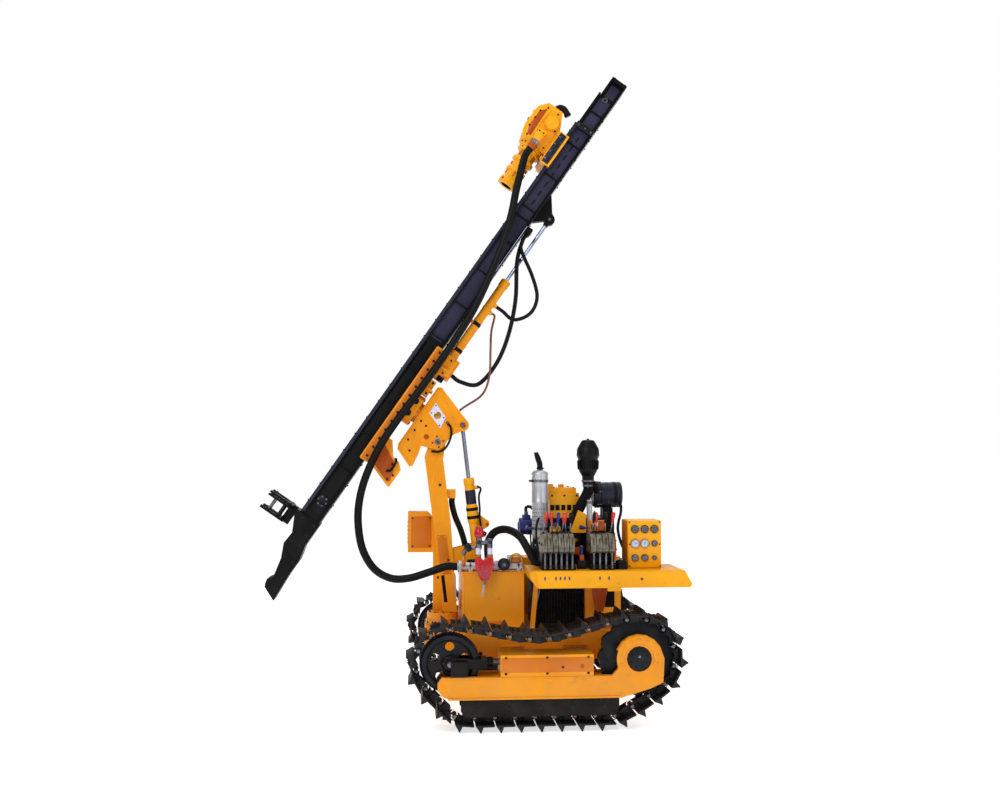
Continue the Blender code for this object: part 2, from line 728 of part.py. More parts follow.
def engine():
    """The open engine with its silencer, pre-cleaner, duct and air filter."""
    low = CHASSIS_TOP + SEAT
    saddle = box((-1.19, -0.04, 1.44), (-1.11, 0.09, 1.542 - SEAT))
    block = fused(
        box((-1.20, -0.36, low + 0.12), (-0.985, 0.10, 1.30)),
        box((-1.20, -0.36, 1.0), (-0.62, 0.10, 1.46)),
        box((-1.10, -0.30, low), (-1.00, 0.04, low + 0.15)),
        box((-0.75, -0.30, low), (-0.65, -0.12, 1.02)),
        saddle,
        rod((-0.63, -0.13, 1.15), (-0.575, -0.13, 1.15), 0.15, 16),
        rod((-0.60, -0.13, 1.15), (-0.545, -0.13, 1.15), 0.05, 10),
        box((-0.905, 0.09, 1.24), (-0.795, 0.205, 1.370)),
    )
    node("engine_block", block, None, "black_paint")
    pump = fused(
        rod((-0.6197, -0.02, 1.39), (-0.560, -0.02, 1.39), 0.050, 10),
        rod((-0.570, -0.02, 1.39), (-0.440, -0.02, 1.39), 0.070, 14),
    )
    node("hydraulic_pump", pump, None, "blue_paint")
    cover = fused(
        box((-0.92, -0.33, 1.4603), (-0.68, 0.08, 1.66)),
        box((-0.90, -0.30, 1.60), (-0.70, 0.05, 1.70)),
        box((-0.715, -0.02, 1.60), (-0.675, 0.05, 1.73)),
    )
    node("engine_cover", cover, None, "yellow_paint")
    muffler = turned(
        [
            (0.0, 1.845),
            (0.040, 1.845),
            (0.064, 1.825),
            (0.064, 1.320),
            (0.040, 1.300),
            (0.025, 1.300),
            (0.025, 1.2403),
            (0.0, 1.2403),
        ],
        (-0.593, 0.16, 0.0),
        (-0.593, 0.16, 1.0),
        16,
    )
    node("muffler", muffler, None, "silver_paint")
    tip = tube(
        [(-0.593, 0.16, 1.8453), (-0.593, 0.16, 1.880), (-0.580, 0.16, 1.93), (-0.560, 0.16, 1.985)], 0.022, 2
    )
    node("exhaust_tip", tip, None, "black_paint")
    support = fused(
        box((-0.66, 0.1003, 1.10), (-0.52, 0.24, 1.24)),
        rod((-0.593, 0.17, 1.0), (-0.593, 0.17, 1.15), 0.03, 8),
    )
    node("exhaust_manifold", support, None, "track_steel")
    cleaner = turned(
        [
            (0.0, 2.085),
            (0.045, 2.085),
            (0.085, 2.020),
            (0.090, 1.965),
            (0.078, 1.930),
            (0.072, 1.840),
            (0.050, 1.800),
            (0.046, 1.740),
            (0.0, 1.740),
        ],
        (-0.981, 0.150, 0.0),
        (-0.981, 0.150, 1.0),
        16,
    )
    node("pre_cleaner", cleaner, None, "black_paint")
    duct = tube(
        [
            (-0.981, 0.150, 1.7397),
            (-0.981, 0.150, 1.680),
            (-0.890, 0.150, 1.500),
            (-0.850, 0.150, 1.420),
            (-0.850, 0.150, 1.3703),
        ],
        0.042,
        2,
    )
    node("air_duct", duct, None, "black_paint")
    filter_body = turned(
        [
            (0.0, 0.115),
            (0.090, 0.115),
            (0.103, 0.100),
            (0.103, -0.100),
            (0.090, -0.115),
            (0.0, -0.115),
        ],
        (-1.150, 0.030, 1.645),
        (-2.0, 0.030, 1.645),
        16,
    )
    node("air_filter", filter_body, None, "black_paint")


def swing_post():
    """The turntable, the front column with its box, the leaning post and the cylinder's foot."""
    front = (SWING_X, 0.0, TURNTABLE_BOTTOM)
    pieces = [rod(front, (SWING_X, 0.0, TURNTABLE_TOP), TURNTABLE_RADIUS, 20)]
    pieces.append(box((0.165, -0.130, 0.70), (0.247, -POST_HALF_WIDTH - SEAT, 1.500)))
    front_box = [(0.235, 1.181), (0.450, 1.181), (0.450, 1.504), (0.290, 1.504), (0.235, 1.450)]
    pieces.append(flat(front_box, -0.190, 0.200))
    node("turntable", fused(*pieces), SWING_AXIS, "orange_paint")

    outline = [
        (0.056, TURNTABLE_TOP + SEAT),
        (0.170, TURNTABLE_TOP + SEAT),
        (0.252, 1.451),
        (0.318, 1.950),
        *arc(TILT_PIN[0], TILT_PIN[1], 0.062, 20, 190, 6),
        (0.172, 1.930),
        (0.112, 1.451),
    ]
    post = flat(outline, 0.0, 2 * POST_HALF_WIDTH)
    feet = []
    for edge in (-0.050, 0.050):
        foot = [
            (0.09, 1.10),
            (0.09, 1.22),
            *arc(BARREL_PIN[0], BARREL_PIN[1], 0.040, 90, 230, 4),
            (-0.06, 1.10),
        ]
        feet.append(flat(foot, edge, 0.016))
    port = box((0.070, -0.034, 1.6197), (0.160, 0.034, 1.690))
    node("boom_post", fused(post, port, *feet), SWING_AXIS, "orange_paint")


def tilt_cylinder():
    """The barrel on its foot pin and the rod whose eye lies between the head's ears."""
    ear = mast_point(EAR[0], 0.0, EAR[1])
    foot = Vector((BARREL_PIN[0], 0.0, BARREL_PIN[1]))
    way = (ear - foot).normalized()
    eye = rod(foot + Vector((0, -0.0417, 0)), foot + Vector((0, 0.0417, 0)), 0.034, 12)
    barrel = rod(foot + way * 0.02, foot + way * 0.556, 0.040, 14)
    band = rod(foot + way * 0.20, foot + way * 0.33, 0.047, 14)
    whole = fused(barrel, eye, band)
    bore = rod(foot + way * 0.12, foot + way * 0.60, 0.0170, 12)
    node("tilt_barrel", cut(whole, bore), BARREL_AXIS, "yellow_paint")
    length = (ear - foot).length
    slide = joint_axis("rod_axis", Matrix.Translation(ear), BARREL_AXIS)
    shaft = rod(foot + way * (length - 0.62), foot + way * (length - 0.01), 0.016, 12)
    eye = rod(ear + Vector((0, -0.030, 0)), ear + Vector((0, 0.030, 0)), 0.034, 12)
    whole = fused(shaft, eye)
    hole = rod(ear + Vector((0, -0.05, 0)), ear + Vector((0, 0.05, 0)), 0.016, 10)
    node("tilt_rod", cut(whole, hole), slide, "bare_steel")


def head():
    """Two cheeks on the tilt pin, joined behind the bearing that the carrier swings on."""
    outline = [
        (0.222, 0.372),
        (HEAD_FACE, 0.355),
        (HEAD_FACE, -0.190),
        (0.232, -0.229),
        (0.075, -0.290),
        (0.056, -0.270),
        (0.072, -0.167),
        (0.092, -0.100),
        (-0.040, -0.056),
        (-0.060, 0.000),
        (-0.058, 0.060),
        (-0.070, 0.120),
        (-0.098, 0.160),
        *arc(EAR[0], EAR[1], 0.050, 250, 90, 6),
    ]
    middle = (CHEEK_INSIDE + CHEEK_OUTSIDE) / 2
    thick = CHEEK_OUTSIDE - CHEEK_INSIDE
    pieces = [flat(outline, edge, thick) for edge in (-middle, middle)]
    pieces.append(box((0.225, -0.08, -0.15), (HEAD_FACE, 0.08, 0.35)))
    bearing = HEAD_FACE + 0.024
    pieces.append(rod((0.24, 0, SWING_CENTRE_Z), (bearing, 0, SWING_CENTRE_Z), 0.085, 16))
    for edge in (-1, 1):
        start = edge * (POST_HALF_WIDTH + 0.0008)
        pieces.append(rod((0, start, 0), (0, edge * 0.112, 0), 0.035, 12))
        end = edge * 0.110
        pieces.append(
            rod((EAR[0], edge * 0.080, EAR[1]), (EAR[0], end, EAR[1]), 0.022, 8)
        )
    node("boom_head", fused(*pieces), TILT_AXIS, "orange_paint", MAST)


def carrier():
    """The saddle that swings on the head and grips the mast's back flange."""
    grip = FLANGE_HALF_WIDTH + 0.007
    back = MAST_BACK - 0.006
    front = MAST_BACK + FLANGE_THICKNESS + 0.006
    lips = [
        (back - 0.030, -grip - 0.025),
        (front + 0.018, -grip - 0.025),
        (front + 0.018, -MAST_HALF_WIDTH - 0.008),
        (front, -MAST_HALF_WIDTH - 0.008),
        (front, -grip),
        (back, -grip),
        (back, grip),
        (front, grip),
        (front, MAST_HALF_WIDTH + 0.008),
        (front + 0.018, MAST_HALF_WIDTH + 0.008),
        (front + 0.018, grip + 0.025),
        (back - 0.030, grip + 0.025),
    ]
    bearing = HEAD_FACE + 0.024 + SEAT
    low_plate = [
        (0.112, -0.512),
        (0.128, -0.516),
        (0.380, -0.430),
        (0.380, -0.200),
        (0.307, -0.194),
        (0.224, -0.300),
        (0.158, -0.312),
        (0.112, -0.357),
    ]
    pieces = [
        section(lips, -0.45, 0.62),
        rod((bearing, 0, SWING_CENTRE_Z), (back - 0.01, 0, SWING_CENTRE_Z), 0.130, 18),
        box((bearing, -0.125, 0.02), (back - 0.01, 0.125, 0.20)),
        flat(low_plate, 0.0, 0.22),
        box((0.262, -0.11, 0.405), (back - 0.01, 0.11, 0.62)),
        box((BLOCK_BACK, -0.09, 0.44), (back - 0.01, 0.09, 0.62)),
        box((0.280, -0.12, 0.24), (back - 0.01, 0.12, 0.38)),
    ]
    node("mast_carrier", fused(*pieces), CARRIER_AXIS, "orange_paint", MAST)

    barrel = rod((COMP_HEIGHT, 0, 0.6203), (COMP_HEIGHT, 0, COMP_BARREL_TOP), 0.036, 14)
    collar = rod((COMP_HEIGHT, 0, COMP_BARREL_TOP - 0.05), (COMP_HEIGHT, 0, COMP_BARREL_TOP + 0.01), 0.041, 14)
    bore = rod((COMP_HEIGHT, 0, 0.66), (COMP_HEIGHT, 0, COMP_BARREL_TOP + 0.1), 0.0159, 12)
    ports = [rod((COMP_HEIGHT - 0.03, 0, z), (PORT_BACK, 0, z), 0.020, 8) for z in (PORT_Z, PORT_Z + 0.07)]
    node("feed_barrel", cut(fused(barrel, collar, *ports), bore), CARRIER_AXIS, "yellow_paint", MAST)


def channel(face):
    """Half of the mast's cross-section twice: a floor, two webs and flanges at the back and at the face."""
    inside = MAST_HALF_WIDTH - WEB_THICKNESS
    half = [
        (MAST_BACK + FLANGE_THICKNESS, inside),
        (face, inside),
        (face, FLANGE_HALF_WIDTH),
        (face - FLANGE_THICKNESS, FLANGE_HALF_WIDTH),
        (face - FLANGE_THICKNESS, MAST_HALF_WIDTH),
        (MAST_BACK + FLANGE_THICKNESS, MAST_HALF_WIDTH),
        (MAST_BACK + FLANGE_THICKNESS, FLANGE_HALF_WIDTH),
        (MAST_BACK, FLANGE_HALF_WIDTH),
    ]
    return half + [(x, -y) for x, y in reversed(half)]


def mast():
    """The channel with its flanges, foot, top sheave, chain, jaws and feed motor."""
    inside = MAST_HALF_WIDTH - WEB_THICKNESS
    lug = [
        (MAST_BACK + 0.005, COMP_EYE_Z + 0.205),
        (COMP_HEIGHT + 0.010, COMP_EYE_Z + 0.075),
        *arc(COMP_HEIGHT, COMP_EYE_Z + 0.020, 0.045, 120, 250, 5),
        (COMP_HEIGHT - 0.018, COMP_EYE_Z - 0.025),
        (COMP_HEIGHT + 0.018, COMP_EYE_Z - 0.025),
        (COMP_HEIGHT + 0.030, COMP_EYE_Z - 0.013),
        (MAST_BACK + 0.005, COMP_EYE_Z - 0.085),
    ]
    places = [MAST_BOTTOM] + [place for place, face in FACE_STEPS] + [MAST_TOP]
    faces = [MAST_FACE] + [face for place, face in FACE_STEPS]
    lengths = [
        section(channel(face), low, high + (0.004 if high < MAST_TOP else 0.0))
        for face, low, high in zip(faces, places, places[1:])
    ]
    beam = fused(
        *lengths,
        flat(lug, 0.0, 0.060),
        box((MAST_BACK, -0.132, MAST_TOP - 0.02), (faces[-1], 0.132, MAST_TOP + 0.012)),
        box((MAST_BACK - 0.045, 0.020, FITTING_Z), (MAST_BACK + 0.005, 0.110, FITTING_Z + 0.060)),
    )
    node("mast_beam", beam, SLIDE_AXIS, "black_paint", MAST)

    comp_rod = rod((COMP_HEIGHT, 0, 1.240), (COMP_HEIGHT, 0, COMP_EYE_Z - 0.025 - SEAT), 0.015, 12)
    node("feed_rod", comp_rod, SLIDE_AXIS, "bare_steel", MAST)

    top = MAST_BOTTOM - SEAT
    foot = [
        (0.385, top),
        (FOOT_FRONT, top),
        (FOOT_FRONT, -1.10),
        (0.530, -1.232),
        (0.537, -1.334),
        (0.485, -1.443),
        (0.452, -1.592),
        (0.481, -1.639),
        (0.471, -1.680),
        (0.341, -1.747),
        (0.348, -1.657),
        (0.357, -1.521),
        (0.356, -1.379),
        (0.385, -1.261),
    ]
    node("mast_foot", flat(foot, 0.0, 0.22), SLIDE_AXIS, "black_paint", MAST)

    jaw_back = SPINDLE_HEIGHT - 0.100
    jaw_front = SPINDLE_HEIGHT + 0.115
    plates = []
    for low, high in ((-1.210, -1.190), (-1.095, -1.080), (-1.070, -1.055)):
        jaw = section(
            [
                (jaw_back, -0.110),
                (jaw_front, -0.110),
                (jaw_front, -JAW_THROAT),
                (SPINDLE_HEIGHT + 0.04, -JAW_THROAT + 0.005),
                *arc(SPINDLE_HEIGHT, 0.0, JAW_THROAT, 300, 60, 5),
                (SPINDLE_HEIGHT + 0.04, JAW_THROAT - 0.005),
                (jaw_front, JAW_THROAT),
                (jaw_front, 0.110),
                (jaw_back, 0.110),
            ],
            low,
            high,
        )
        plates.append(jaw)
    plates.append(box((FOOT_FRONT + SEAT, -0.030, -1.212), (jaw_back + 0.030, 0.030, -1.054)))
    node("rod_guide", fused(*plates), SLIDE_AXIS, "black_paint", MAST)

    lane = 0.022
    run = [
        *arc(CHAIN_X, 3.06, 0.047 + 0.010, 0, 180, 7),
        *arc(CHAIN_X, -0.90, 0.047 + 0.010, 180, 360, 7),
    ]
    inner = [
        *arc(CHAIN_X, 3.06, 0.047, 0, 180, 7),
        *arc(CHAIN_X, -0.90, 0.047, 180, 360, 7),
    ]
    node("feed_chain", flat(run, 0.0, lane, [inner]), SLIDE_AXIS, "track_steel", MAST)
    for name, z in (("top_sheave", 3.06), ("feed_sprocket", -0.90)):
        wheel = rod((CHAIN_X, -0.018, z), (CHAIN_X, 0.018, z), 0.0455, 14)
        axle = rod((CHAIN_X, -inside + SEAT, z), (CHAIN_X, inside - SEAT, z), 0.018, 8)
        node(name, fused(wheel, axle), SLIDE_AXIS, "track_steel", MAST)
    motor = turned(
        [(0.0, 0.0), (0.050, 0.0), (0.050, -0.06), (0.040, -0.07), (0.040, -0.16), (0.0, -0.16)],
        (CHAIN_X, -MAST_HALF_WIDTH - SEAT, -0.90),
        (CHAIN_X, 1.0, -0.90),
        14,
    )
    node("feed_motor", motor, SLIDE_AXIS, "black_paint", MAST)


def drill_head():
    """The carriage on the mast's rails, the gearbox on it and the spindle that turns."""
    face = MAST_FACE + 0.005
    front = CARRIAGE_FACE
    back = MAST_FACE - FLANGE_THICKNESS - 0.005
    grip = FLANGE_HALF_WIDTH + 0.006
    lips = [
        (front, -grip - 0.020),
        (front, grip + 0.020),
        (back - 0.014, grip + 0.020),
        (back - 0.014, MAST_HALF_WIDTH + 0.010),
        (back, MAST_HALF_WIDTH + 0.010),
        (back, grip),
        (face, grip),
        (face, -grip),
        (back, -grip),
        (back, -MAST_HALF_WIDTH - 0.010),
        (back - 0.014, -MAST_HALF_WIDTH - 0.010),
        (back - 0.014, -grip - 0.020),
    ]
    node("feed_carriage", section(lips, 2.320, 2.620), FEED_AXIS, "yellow_paint", MAST)
    start = front + SEAT
    gear = [
        (start, 2.400),
        (SPINDLE_HEIGHT + 0.130, 2.420),
        (SPINDLE_HEIGHT + 0.160, 2.520),
        (SPINDLE_HEIGHT + 0.155, 2.700),
        (SPINDLE_HEIGHT + 0.095, 2.775),
        (SPINDLE_HEIGHT - 0.040, 2.775),
        (start, 2.620),
    ]
    body = fused(
        flat(gear, 0.0, 0.200),
        rod((SPINDLE_HEIGHT, 0, 2.38), (SPINDLE_HEIGHT, 0, 2.44), SPINDLE_REACH - 0.011, 16),
        rod((SPINDLE_HEIGHT - 0.020, 0.09, 2.64), (SPINDLE_HEIGHT - 0.020, 0.145, 2.64), 0.055, 12),
        box((HOSE_HEIGHT - 0.035, 0.09, 2.460), (HOSE_HEIGHT + 0.035, HOSE_Y + 0.015, 2.540)),
        rod((HOSE_HEIGHT, HOSE_Y, 2.50), (HOSE_HEIGHT, HOSE_Y, HOSE_TOP), 0.034, 10),
    )
    node("rotary_gearbox", body, FEED_AXIS, "yellow_paint", MAST)
    elbow = tube(
        [(0.760, 0.02, 2.7753), (0.760, 0.02, 2.800), (0.720, 0.02, 2.830), (0.650, 0.02, 2.800)], 0.026, 2
    )
    node("swivel_elbow", elbow, FEED_AXIS, "black_paint", MAST)
    spindle = turned(
        [
            (0.0, 2.3797),
            (SPINDLE_REACH - 0.017, 2.3797),
            (SPINDLE_REACH - 0.017, 2.345),
            (0.075, 2.345),
            (0.075, 2.285),
            (0.092, 2.285),
            (0.092, 2.255),
            (0.066, 2.255),
            (0.066, 2.185),
            (0.084, 2.185),
            (0.084, 2.155),
            (0.064, 2.155),
            (0.064, 2.105),
            (0.080, 2.105),
            (0.080, 2.030),
            (0.050, 2.030),
            (0.050, 2.090),
            (0.0, 2.090),
        ],
        (SPINDLE_HEIGHT, 0, 0.0),
        (SPINDLE_HEIGHT, 0, 1.0),
        16,
    )
    node("spindle", spindle, SPINDLE_AXIS, "yellow_paint", MAST)


def air_line():
    """The silver air pipe on the tank, the red valve and the regulator."""
    pipe = rod((-0.430, PIPE_Y, PIPE_Z), (PIPE_END, PIPE_Y, PIPE_Z), PIPE_RADIUS, 12)
    flange = rod((0.040, PIPE_Y, PIPE_Z), (0.062, PIPE_Y, PIPE_Z), 0.048, 12)
    feet = [
        box((x - 0.015, PIPE_Y - 0.030, TANK_TOP + SEAT), (x + 0.015, PIPE_Y + 0.030, PIPE_Z)) for x in (-0.40, -0.03)
    ]
    node("air_pipe", fused(pipe, flange, *feet), None, "silver_paint")
    front = PIPE_Y + PIPE_RADIUS + SEAT
    x = -0.125
    middle = TANK_HALF_WIDTH + 0.058
    body = [
        (x - 0.072, 1.190),
        (x - 0.072, 1.110),
        (x - 0.035, 1.020),
        (x + 0.025, 1.020),
        (x + 0.065, 1.110),
        (x + 0.065, 1.190),
        (x + 0.020, 1.190),
        (x, 1.165),
        (x - 0.020, 1.190),
    ]
    valve = fused(
        flat(body, middle, 0.090),
        rod((x, front, PIPE_Z), (x, middle, PIPE_Z), 0.022, 8),
        rod((x + 0.035, middle, 1.180), (x + 0.035, middle, 1.345), 0.018, 8),
        rod((x + 0.035, middle, 1.335), (x + 0.035, middle, 1.425), 0.040, 12, 0.022),
    )
    node("air_valve", valve, None, "red_paint")
    node("air_regulator", rod((-0.285, front, 1.130), (-0.285, 0.445, 1.130), 0.047, 12), None, "black_paint")


def hoses():
    """The hoses, each on a smooth curve through points chosen from the photograph."""
    air = [
        mast_point(HOSE_HEIGHT, HOSE_Y, HOSE_TOP - SEAT),
        mast_point(HOSE_HEIGHT, HOSE_Y, HOSE_TOP - 0.07),
        mast_point(0.700, 0.180, 2.160),
        mast_point(0.635, 0.200, 1.990),
        mast_point(0.565, 0.205, 1.830),
        mast_point(0.485, 0.205, 1.600),
        mast_point(0.415, 0.205, 1.290),
        mast_point(0.365, 0.205, 0.970),
        mast_point(0.350, 0.205, 0.600),
        mast_point(0.352, 0.205, 0.250),
        mast_point(0.360, 0.207, -0.050),
        mast_point(0.352, 0.215, -0.300),
        (0.780, 0.240, 1.790),
        (0.828, 0.260, 1.590),
        (0.830, 0.280, 1.410),
        (0.793, 0.310, 1.235),
        (0.705, 0.335, 1.095),
        (0.577, 0.355, 1.025),
        (0.440, 0.362, 1.025),
        (0.290, 0.362, 1.068),
        (0.160, PIPE_Y, PIPE_Z),
        (PIPE_END + SEAT, PIPE_Y, PIPE_Z),
    ]
    node("air_hose", tube(air, 0.030, 2, 0.17), SLIDE_AXIS, "rubber")
    loop = [
        mast_point(0.370, 0.085, FITTING_Z - SEAT),
        mast_point(0.370, 0.085, FITTING_Z - 0.05),
        (-0.455, 0.075, 3.620),
        (-0.545, 0.065, 3.410),
        (-0.585, 0.055, 3.240),
        (-0.530, 0.040, 3.110),
        (-0.400, 0.020, 3.060),
        mast_point(PORT_BACK - 0.06, 0.0, PORT_Z + 0.07),
        mast_point(PORT_BACK - SEAT, 0.0, PORT_Z + 0.07),
    ]
    node("loop_hose", tube(loop, 0.015, 2, 0.08), CARRIER_AXIS, "rubber")
    long_loop = [
        mast_point(0.370, 0.045, FITTING_Z - SEAT),
        mast_point(0.370, 0.045, FITTING_Z - 0.05),
        (-0.423, 0.050, 3.527),
        (-0.410, 0.050, 3.217),
        (-0.352, 0.050, 2.932),
        (-0.255, 0.045, 2.700),
        (-0.110, 0.035, 2.535),
        mast_point(BLOCK_BACK - 0.09, 0.03, 0.500),
        mast_point(BLOCK_BACK - SEAT, 0.03, 0.500),
    ]
    node("long_hose", tube(long_loop, 0.017, 2, 0.09), CARRIER_AXIS, "rubber")
    top_edge = Vector((-0.2975, 0.0, 0.9547))
    rest = Vector((0.0, 0.0855, 0.3028))
    pilot = [
        mast_point(PORT_BACK - SEAT, 0.0, PORT_Z),
        mast_point(PORT_BACK - 0.03, 0.0, PORT_Z),
        (-0.215, 0.040, 2.960),
        (-0.205, 0.085, 2.800),
        (-0.195, 0.098, 2.600),
        (-0.140, 0.090, 2.450),
        MAST @ (rest + top_edge * 0.05),
        MAST @ (rest + top_edge * SEAT),
    ]
    node("pilot_hose", tube(pilot, 0.009, 2, 0.07), TILT_AXIS, "rubber")
    arch = [
        (-0.175, 0.270, TANK_TOP + SEAT),
        (-0.175, 0.270, 1.150),
        (-0.172, 0.290, 1.290),
        (-0.225, 0.350, 1.375),
        (-0.310, 0.430, 1.395),
        (-0.395, 0.530, 1.350),
        (-0.455, 0.590, 1.250),
        (-0.505, 0.600, 1.165),
        (-0.5407, 0.600, 1.165),
    ]
    node("arch_hose", tube(arch, 0.030, 2, 0.09), None, "rubber")
    down = [
        (0.098, 0.0, 1.6197 - SEAT),
        (0.098, 0.0, 1.570),
        (0.072, 0.0, 1.470),
        (0.028, 0.0, 1.365),
        (-0.006, 0.0, 1.250),
        (-0.014, 0.0, 1.150),
        (-0.014, 0.0, TANK_TOP + SEAT),
    ]
    node("post_hose", tube(down, 0.024, 2, 0.08), SWING_AXIS, "rubber")


for one, word in ((1, "left"), (-1, "right")):
    track_side(one, word)
chassis()
deck()
engine()
swing_post()
tilt_cylinder()
head()
carrier()
mast()
drill_head()
air_line()
hoses()
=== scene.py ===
import math

import bmesh
import bpy
from mathutils import Matrix, Vector


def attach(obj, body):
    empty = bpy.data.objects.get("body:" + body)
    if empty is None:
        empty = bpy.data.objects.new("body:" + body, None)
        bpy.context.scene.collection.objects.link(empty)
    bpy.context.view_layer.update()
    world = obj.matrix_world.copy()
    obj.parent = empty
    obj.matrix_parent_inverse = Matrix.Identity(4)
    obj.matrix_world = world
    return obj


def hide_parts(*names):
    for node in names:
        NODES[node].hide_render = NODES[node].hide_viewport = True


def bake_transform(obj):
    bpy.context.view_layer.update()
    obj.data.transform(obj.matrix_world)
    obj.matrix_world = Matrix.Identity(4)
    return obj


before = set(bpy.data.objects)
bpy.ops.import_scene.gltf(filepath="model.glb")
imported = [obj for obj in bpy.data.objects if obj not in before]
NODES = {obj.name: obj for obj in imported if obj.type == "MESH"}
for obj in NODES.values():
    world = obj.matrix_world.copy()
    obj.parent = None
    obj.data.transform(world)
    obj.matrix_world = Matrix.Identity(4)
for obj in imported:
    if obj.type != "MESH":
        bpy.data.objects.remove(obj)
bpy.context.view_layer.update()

# Places, in metres, as in the solids
TRACK_CENTRE = 0.85
SHOE_WIDTH = 0.3
PITCH = 0.145
PIN_TO_SHOE = 0.03
SHOE_THICKNESS = 0.014
GROUSER_TIP = 0.085
TEETH = 12
DRIVE_RADIUS = TEETH * PITCH / math.tau
SPROCKET = (-1.2165, 0.5)
IDLER_Z = 0.475
IDLER_PIN_RADIUS = 0.245
TURN_RADIUS = 0.1
FRONT_TURN_X = 0.06
REAR_TURN_X = -1.05
TOP_SAG = 0.105
TILT_PIN = (0.215, 2.07)
MAST_LEAN = math.radians(34.8)
MAST_FACE = 0.573
FACE_STEPS = ((2.76, 0.553), (3.08, 0.535))
CHAIN_X = 0.478
DECK_TOP = 1.111
DECK_SEAT = 1.1113
LID_TOP = 1.0745
MAST_CAP = 3.2555
ROD_EYE = 2.005
SPINDLE_HEIGHT = 0.74
COMP_HEIGHT = 0.29

AHEAD = (1, 0, 0)
BEHIND = (-1, 0, 0)
LEFT = (0, 1, 0)
UP = (0, 0, 1)
WORLD = Matrix.Identity(4)
MAST = Matrix.Translation((TILT_PIN[0], 0.0, TILT_PIN[1])) @ Matrix.Rotation(-MAST_LEAN, 4, "Y")


def on_mast(*places):
    """Places given in the mast's own frame: out from its back, to its left and up along it."""
    return [MAST @ Vector(place) for place in places]


# Materials
def linear(code):
    """A colour from its usual six-digit form, as Blender's linear values."""
    values = [int(code[i : i + 2], 16) / 255 for i in (0, 2, 4)]
    return tuple(v / 12.92 if v <= 0.04045 else ((v + 0.055) / 1.055) ** 2.4 for v in values) + (1.0,)


class Nodes:
    """A short way to join shader nodes."""

    def __init__(self, name):
        self.material = bpy.data.materials.new(name)
        self.material.use_nodes = True
        self.tree = self.material.node_tree
        self.shader = self.tree.nodes["Principled BSDF"]
        place = self.tree.nodes.new("ShaderNodeTexCoord")
        self.place = place.outputs["Object"]

    def link(self, start, end):
        self.tree.links.new(start, end)

    def give(self, socket, value):
        self.shader.inputs[socket].default_value = value

    def scaled(self, scale):
        node = self.tree.nodes.new("ShaderNodeMapping")
        node.inputs["Scale"].default_value = scale
        self.link(self.place, node.inputs["Vector"])
        return node.outputs["Vector"]

    def noise(self, scale, detail=4.0, rough=0.55, place=None):
        node = self.tree.nodes.new("ShaderNodeTexNoise")
        node.inputs["Scale"].default_value = scale
        node.inputs["Detail"].default_value = detail
        node.inputs["Roughness"].default_value = rough
        self.link(place or self.place, node.inputs["Vector"])
        return node.outputs["Fac"]

    def ramp(self, value, stops):
        node = self.tree.nodes.new("ShaderNodeValToRGB")
        while len(node.color_ramp.elements) < len(stops):
            node.color_ramp.elements.new(0.5)
        for element, (place, colour) in zip(node.color_ramp.elements, stops):
            element.position = place
            element.color = colour if hasattr(colour, "__len__") else (colour, colour, colour, 1.0)
        self.link(value, node.inputs["Fac"])
        return node.outputs["Color"]

    def mix(self, share, one, two):
        node = self.tree.nodes.new("ShaderNodeMix")
        node.data_type = "RGBA"
        for value, socket in ((share, node.inputs[0]), (one, node.inputs[6]), (two, node.inputs[7])):
            if isinstance(value, bpy.types.NodeSocket):
                self.link(value, socket)
            else:
                socket.default_value = value
        return node.outputs[2]

    def bump(self, height, strength, distance=0.002):
        node = self.tree.nodes.new("ShaderNodeBump")
        node.inputs["Strength"].default_value = strength
        node.inputs["Distance"].default_value = distance
        self.link(height, node.inputs["Height"])
        self.link(node.outputs["Normal"], self.shader.inputs["Normal"])

    def height_share(self, low, high):
        """1 at the lowest height, 0 at the highest, for dust near the ground."""
        split = self.tree.nodes.new("ShaderNodeSeparateXYZ")
        self.link(self.place, split.inputs[0])
        node = self.tree.nodes.new("ShaderNodeMapRange")
        node.inputs["From Min"].default_value = high
        node.inputs["From Max"].default_value = low
        self.link(split.outputs["Z"], node.inputs["Value"])
        return node.outputs["Result"]


def paint(name, colour, shade, dirt="6B4A22", rough=0.38, coat=0.05, dirt_share=0.5, shine=0.22, dust=0.35):
    """Sprayed paint: slow changes of tone, fine orange peel, grime in patches and dust low down."""
    n = Nodes(name)
    tone = n.ramp(n.noise(2.3, 5.0), [(0.3, linear(shade)), (0.62, linear(colour))])
    grime = n.ramp(n.noise(11.0, 8.0, 0.7), [(0.6, 0.0), (0.78, dirt_share)])
    painted = n.mix(grime, tone, linear(dirt))
    low = n.tree.nodes.new("ShaderNodeMath")
    low.operation = "MULTIPLY"
    n.link(n.height_share(0.15, 1.0), low.inputs[0])
    n.link(n.ramp(n.noise(5.0, 6.0), [(0.35, 0.0), (0.8, dust)]), low.inputs[1])
    n.link(n.mix(low.outputs[0], painted, linear("8A7B66")), n.shader.inputs["Base Color"])
    n.link(
        n.ramp(n.noise(18.0, 4.0), [(0.3, rough - 0.08), (0.75, rough + 0.14)]),
        n.shader.inputs["Roughness"],
    )
    n.give("Coat Weight", coat)
    n.give("Coat Roughness", 0.18)
    n.give("Specular IOR Level", shine)
    n.bump(n.noise(260.0, 3.0), 0.04, 0.0004)
    return n.material


